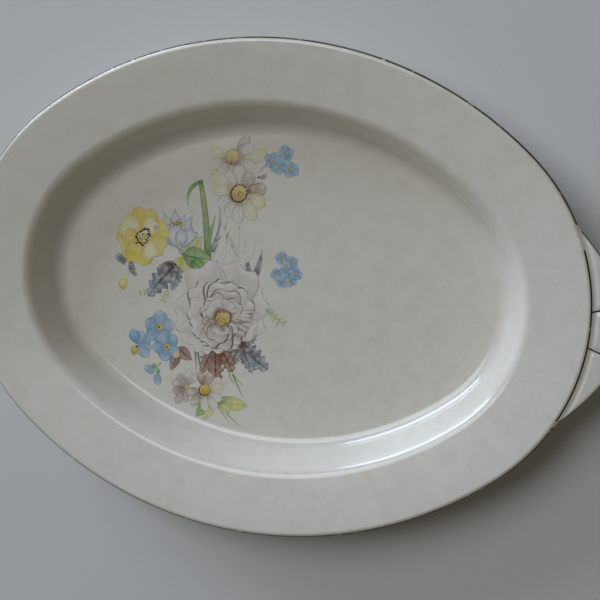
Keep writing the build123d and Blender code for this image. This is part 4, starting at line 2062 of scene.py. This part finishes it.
    def daisies(self) -> None:
        """The upper and lower daisies, and the pale lily-like flower between."""
        self.current = "upper_daisy_transfer"
        lily = (-36.0, 3.0)
        for angle, length, width in ((48, 27, 9), (64, 31, 9), (80, 27, 7), (30, 24, 8)):
            self.lay(Shape.BLADE, Wash.LILY, lily, angle, length, width)
        self.stroke(Wash.LILY, (-27, 22), (-12, 26), 7.0, Shape.CURLED)
        upper = (-30.0, 67.0)
        for wash, angle, length, width in (
            (Wash.DAISY_LEMON, 160, 13, 5), (Wash.DAISY, 10, 19, 8), (Wash.DAISY_LEMON, 18, 20, 5),
            (Wash.DAISY, 200, 15, 7), (Wash.DAISY_BROWN, 56, 16, 5), (Wash.DAISY, 38, 14, 6),
            (Wash.DAISY, -20, 15, 7), (Wash.DAISY, -52, 13, 6.5), (Wash.DAISY, 238, 13, 6.5),
            (Wash.DAISY, -88, 14, 7),
        ):
            self.flower(Shape.LONG, (wash,), upper, length, width, (angle,), 0.18)
        self.dot(Wash.GOLD_HEART, (-30.0, 68.0), 9.0, 7.8, 80)
        self.stamens(Wash.RUST_DOT, (-30.0, 64.6), (3.8, 1.0), 0, 8, 0.8, 0.6)
        self.stamens(Wash.GOLD_HEART, (-30.0, 69.0), (3.6, 3.4), 90, 9, 1.4, 0.7)
        lower = (-24.4, 48.5)
        for wash, angle, length, width in (
            (Wash.DAISY, 92, 15, 8), (Wash.DAISY, 128, 14, 7), (Wash.DAISY_LEMON, 150, 19, 8),
            (Wash.DAISY_LEMON, 182, 16, 6), (Wash.DAISY_BROWN, 60, 15, 8),
            (Wash.DAISY_BROWN, 15, 17, 7),
            (Wash.DAISY, 215, 15, 9), (Wash.DAISY_LEMON, -22, 17.5, 8.5), (Wash.DAISY, 245, 15, 8),
            (Wash.DAISY_LEMON, -52, 16.5, 8), (Wash.DAISY, -84, 17.5, 7),
        ):
            self.flower(Shape.LONG, (wash,), lower, length, width, (angle,), 0.2)
        self.dot(Wash.STAMEN, lower, 11.2, 9.6, 60)
        self.dot(Wash.GOLD_HEART, (-24.2, 48.8), 10.2, 8.8, 60)
        self.stamens(Wash.STAMEN, lower, (5.2, 4.4), 60, 18, 0.9, 0.88)
        self.stamens(Wash.RUST_DOT, (-24.0, 48.2), (2.4, 2.0), 60, 9, 0.8, 0.3)
        self.stroke(Wash.BLUE_LINE, (-13.5, 58), (-9.5, 61), 2.6, Shape.BLADE)
        self.dot(Wash.STAMEN, (-14.0, 58.2), 2.0, 1.0, 10)
        self.current = "lower_daisy_transfer"
        small, large = (-44.6, -61.6), (-34.4, -62.4)
        for wash, angle, length, width in (
            (Wash.DAISY, 55, 11, 4.2), (Wash.DAISY, 85, 10.5, 4.2), (Wash.DAISY_BROWN, 135, 9, 4.4),
            (Wash.DAISY_BROWN, 172, 9, 4.6), (Wash.DAISY_BROWN, 212, 10, 5),
            (Wash.DAISY_BROWN, 240, 12, 4.6), (Wash.DAISY_BROWN, 268, 9, 3.6),
        ):
            self.flower(Shape.LONG, (wash,), small, length, width, (angle,), 0.12)
        self.dot(Wash.LEMON_LEAF, small, 3.6, 3.2)
        self.dot(Wash.STAMEN, (-44.8, -61.4), 0.9, 0.8)
        for wash, angle, length, width in (
            (Wash.DAISY, 10, 12, 5.4), (Wash.DAISY, 38, 12, 5.4), (Wash.DAISY_BROWN, 74, 11.5, 5),
            (Wash.DAISY_BROWN, 112, 11, 5), (Wash.DAISY, -20, 12, 5.2),
            (Wash.DAISY_BROWN, 192, 10.5, 5), (Wash.DAISY_BROWN, 232, 12, 5.4),
            (Wash.DAISY, -52, 12, 5.2), (Wash.DAISY, -84, 11.5, 5),
            (Wash.DAISY_LEMON, 24, 12.5, 4.2),
        ):
            self.flower(Shape.LONG, (wash,), large, length, width, (angle,), 0.2)
        self.dot(Wash.STAMEN, large, 7.0, 6.6)
        self.dot(Wash.GOLD_HEART, (-34.2, -62.2), 6.4, 6.0)
        self.stamens(Wash.RUST_DOT, (-34.3, -62.3), (1.6, 1.5), 0, 5, 0.6, 0.6)

    def buds(self) -> None:
        """The loose buds at the left and the lowest blue ones."""
        self.current = "bud_transfer"
        self.dot(Wash.POPPY, (-87.2, -8.4), 7.4, 5.4, 84)
        self.dot(Wash.POPPY_PALE, (-88.0, -8.0), 4.2, 2.2, 84)
        for at, long, wide, angle in (
            ((-90.5, 5.8), 6.0, 4.6, 150), ((-88.0, 4.0), 4.6, 3.0, 240),
            ((-83.0, 1.0), 7.5, 3.6, -70), ((-81.5, -1.8), 4.5, 2.4, -40),
        ):
            self.dot(Wash.SLATE, at, long, wide, angle)
        self.stroke(Wash.STEM, (-61, -50), (-64, -55), 0.8)
        for at, angle in (((-67.6, -55.0), 150), ((-62.4, -60.0), -80)):
            self.dot(Wash.BLUE, at, 7.0, 4.6, angle)
        for at in ((-65.0, -52.6), (-62.6, -55.2)):
            self.dot(Wash.GREEN, at, 3.4, 2.8, 120)

    def build(self) -> dict[str, bpy.types.Object]:
        """Print the whole spray, from its stems up to its nearest flowers.

        Returns:
            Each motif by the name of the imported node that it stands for.
        """
        self.stems()
        self.leaves()
        self.tulip()
        self.poppy()
        self.daisies()
        self.blue_flowers()
        self.buds()
        self.peony()
        prints = {}
        for node, laid in self.motifs.items():
            whole = join(node.replace("_transfer", "_print"), laid)
            bpy.ops.object.mode_set(mode="EDIT")
            choose(whole, lambda face: face.normal.z < 0, "FACE")
            bpy.ops.mesh.flip_normals()
            put_down()
            apply_modifier(whole, "SOLIDIFY", thickness=self.film * MM, offset=-1.0)
            prints[node] = whole
        for pattern in self.masters.values():
            drop(pattern)
        return prints


SPRAY_SLOTS = {
    "peony_transfer": "cream_enamel",
    "poppy_transfer": "yellow_enamel",
    "tulip_transfer": "blue_enamel",
    "forget_me_not_transfer": "blue_enamel",
    "bud_transfer": "blue_enamel",
    "upper_daisy_transfer": "mauve_enamel",
    "lower_daisy_transfer": "mauve_enamel",
    "dark_leaf_transfer": "brown_enamel",
    "green_leaf_transfer": "green_enamel",
    "stem_transfer": "green_enamel",
}


# --- Studio ----------------------------------------------------------------------------------


@dataclass(frozen=True)
class Lamp:
    """One large round soft lamp, turned to the platter from far off."""

    name: str
    bearing: float
    height: float
    power: float
    tone: str
    distance: float = 4.0
    size: float = 2.6

    def hang(self) -> None:
        """Hang the lamp at its bearing and height, both in degrees."""
        data = bpy.data.lights.new(self.name, "AREA")
        data.shape = "DISK"
        data.size = self.size
        data.energy = self.power
        data.color = linear(self.tone)[:3]
        lamp = bpy.data.objects.new(self.name, data)
        bpy.context.scene.collection.objects.link(lamp)
        way = Vector((self.distance, 0.0, 0.0))
        way.rotate(Euler((0.0, -math.radians(self.height), math.radians(self.bearing))))
        lamp.location = way
        lamp.rotation_mode = "QUATERNION"
        lamp.rotation_quaternion = way.to_track_quat("Z", "Y")


@dataclass
class Studio:
    """A plain pale floor, two soft lamps from the left, and the camera."""

    eye: tuple[float, float, float] = (174.1, 73.2, 665.1)
    aim: tuple[float, float, float] = (20.8, -2.4, 33.0)
    camera_up: tuple[float, float, float] = (-0.1186, 0.9889, -0.0894)
    lens: float = 78.0
    lamps: tuple[Lamp, ...] = (
        Lamp("low_window_lamp", 140.0, 12.0, 152.0, "#D3E4FF"),
        Lamp("high_soft_lamp", 140.0, 60.0, 52.0, "#F2F8FF"),
    )
    room_tone: str = "#FBF1E2"
    room_strength: float = 0.09

    def camera(self) -> None:
        """Put the camera at the eye, looking at the aim."""
        data = bpy.data.cameras.new("camera")
        data.lens = self.lens
        data.clip_start = 0.01
        camera = bpy.data.objects.new("camera", data)
        bpy.context.scene.collection.objects.link(camera)
        place = Vector(self.eye) * MM
        back = (place - Vector(self.aim) * MM).normalized()
        right = Vector(self.camera_up).cross(back).normalized()
        up = back.cross(right)
        turn = Matrix((right, up, back)).transposed().to_4x4()
        camera.matrix_world = Matrix.Translation(place) @ turn
        bpy.context.scene.camera = camera

    def light(self) -> None:
        """Hang the lamps and set the room's dim warm light."""
        for lamp in self.lamps:
            lamp.hang()
        world = bpy.data.worlds.new("room")
        world.use_nodes = True
        background = world.node_tree.nodes["Background"]
        background.inputs["Color"].default_value = linear(self.room_tone)
        background.inputs["Strength"].default_value = self.room_strength
        bpy.context.scene.world = world
        bpy.context.scene.view_settings.view_transform = "Standard"

    def floor(self) -> None:
        """Lay the pale floor under the foot's sole."""
        put_down()
        bpy.ops.mesh.primitive_plane_add(size=6.0)
        floor = bpy.context.object
        floor.name = "studio_floor"
        material, tree, shader = new_material("studio_paper")
        place = add_node(tree, "TexCoord").outputs["Object"]
        grain = add_node(
            tree, "TexNoise", {"Vector": place, "Scale": per_mm(1.5), "Detail": 3.0}
        ).outputs["Fac"]
        tone = blend(tree, grain, linear("#D3D2CE"), linear("#DAD9D5"))
        tree.links.new(tone, shader.inputs["Base Color"])
        shader.inputs["Roughness"].default_value = 0.9
        floor.data.materials.append(material)


# --- Assembly --------------------------------------------------------------------------------


def settle(piece: bpy.types.Object, slot: str, *nodes: str) -> None:
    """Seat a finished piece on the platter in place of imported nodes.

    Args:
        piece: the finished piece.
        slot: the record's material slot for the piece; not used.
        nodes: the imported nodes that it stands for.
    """
    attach(piece, BODY)
    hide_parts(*nodes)
    log.info("%s: %d faces", piece.name, len(piece.data.polygons))


def smooth(piece: bpy.types.Object, degrees: float = 40.0) -> None:
    """Shade a piece smooth, but for edges sharper than an angle."""
    pick_up(piece)
    bpy.ops.object.shade_smooth_by_angle(angle=math.radians(degrees))


def main() -> None:
    """Build, dress and place every part of the platter."""
    logging.basicConfig(level=logging.INFO, format="%(name)s %(message)s")
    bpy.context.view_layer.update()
    studio = Studio()
    studio.camera()
    studio.light()
    studio.floor()

    platter = Platter.from_frame()
    platter.finishes["glaze"] = IvoryGlaze().material()
    platter.finishes["clay"] = FiredClay().material()
    # The lustre line's dark browns are partly tarnish and partly painted reflection: they stand in
    # for the dark room that bright platinum mirrors.
    platter.finishes["dull_platinum_line"] = LinerPaint(
        "lustre_line_tarnish_and_painted_dark_reflection", "#4A433B", "#6E6252", wear=0.43, metallic=0.55, roughness=0.34
    ).material()
    platter.finishes["black_line"] = LinerPaint(
        "black_enamel_line", "#1E1B19", "#2C2724", wear=0.42, roughness=0.22
    ).material()

    for node in ("dish_body", "foot_ring", "right_lug_handle", "left_lug_handle"):
        platter.paint(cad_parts[node], "clay")
        log.info("%s: bare fired clay", node)

    handles = LugHandles(platter)
    right, left = handles.build()
    for node, line in PaintedLines(platter, handles).build(right).items():
        smooth(line, 60.0)
        settle(line, LINE_SLOTS[node], node)
    dish = GlazedDish(platter).build()
    glazed = join("ivory_glazed_dish", [dish, right, left])
    smooth(glazed)
    platter.paint(glazed, "glaze")
    settle(glazed, "clear_glaze", "glaze_coat")

    for node, motif in Spray.from_frame(platter).build().items():
        settle(motif, SPRAY_SLOTS[node], node)


if __name__ == "__main__":
    main()
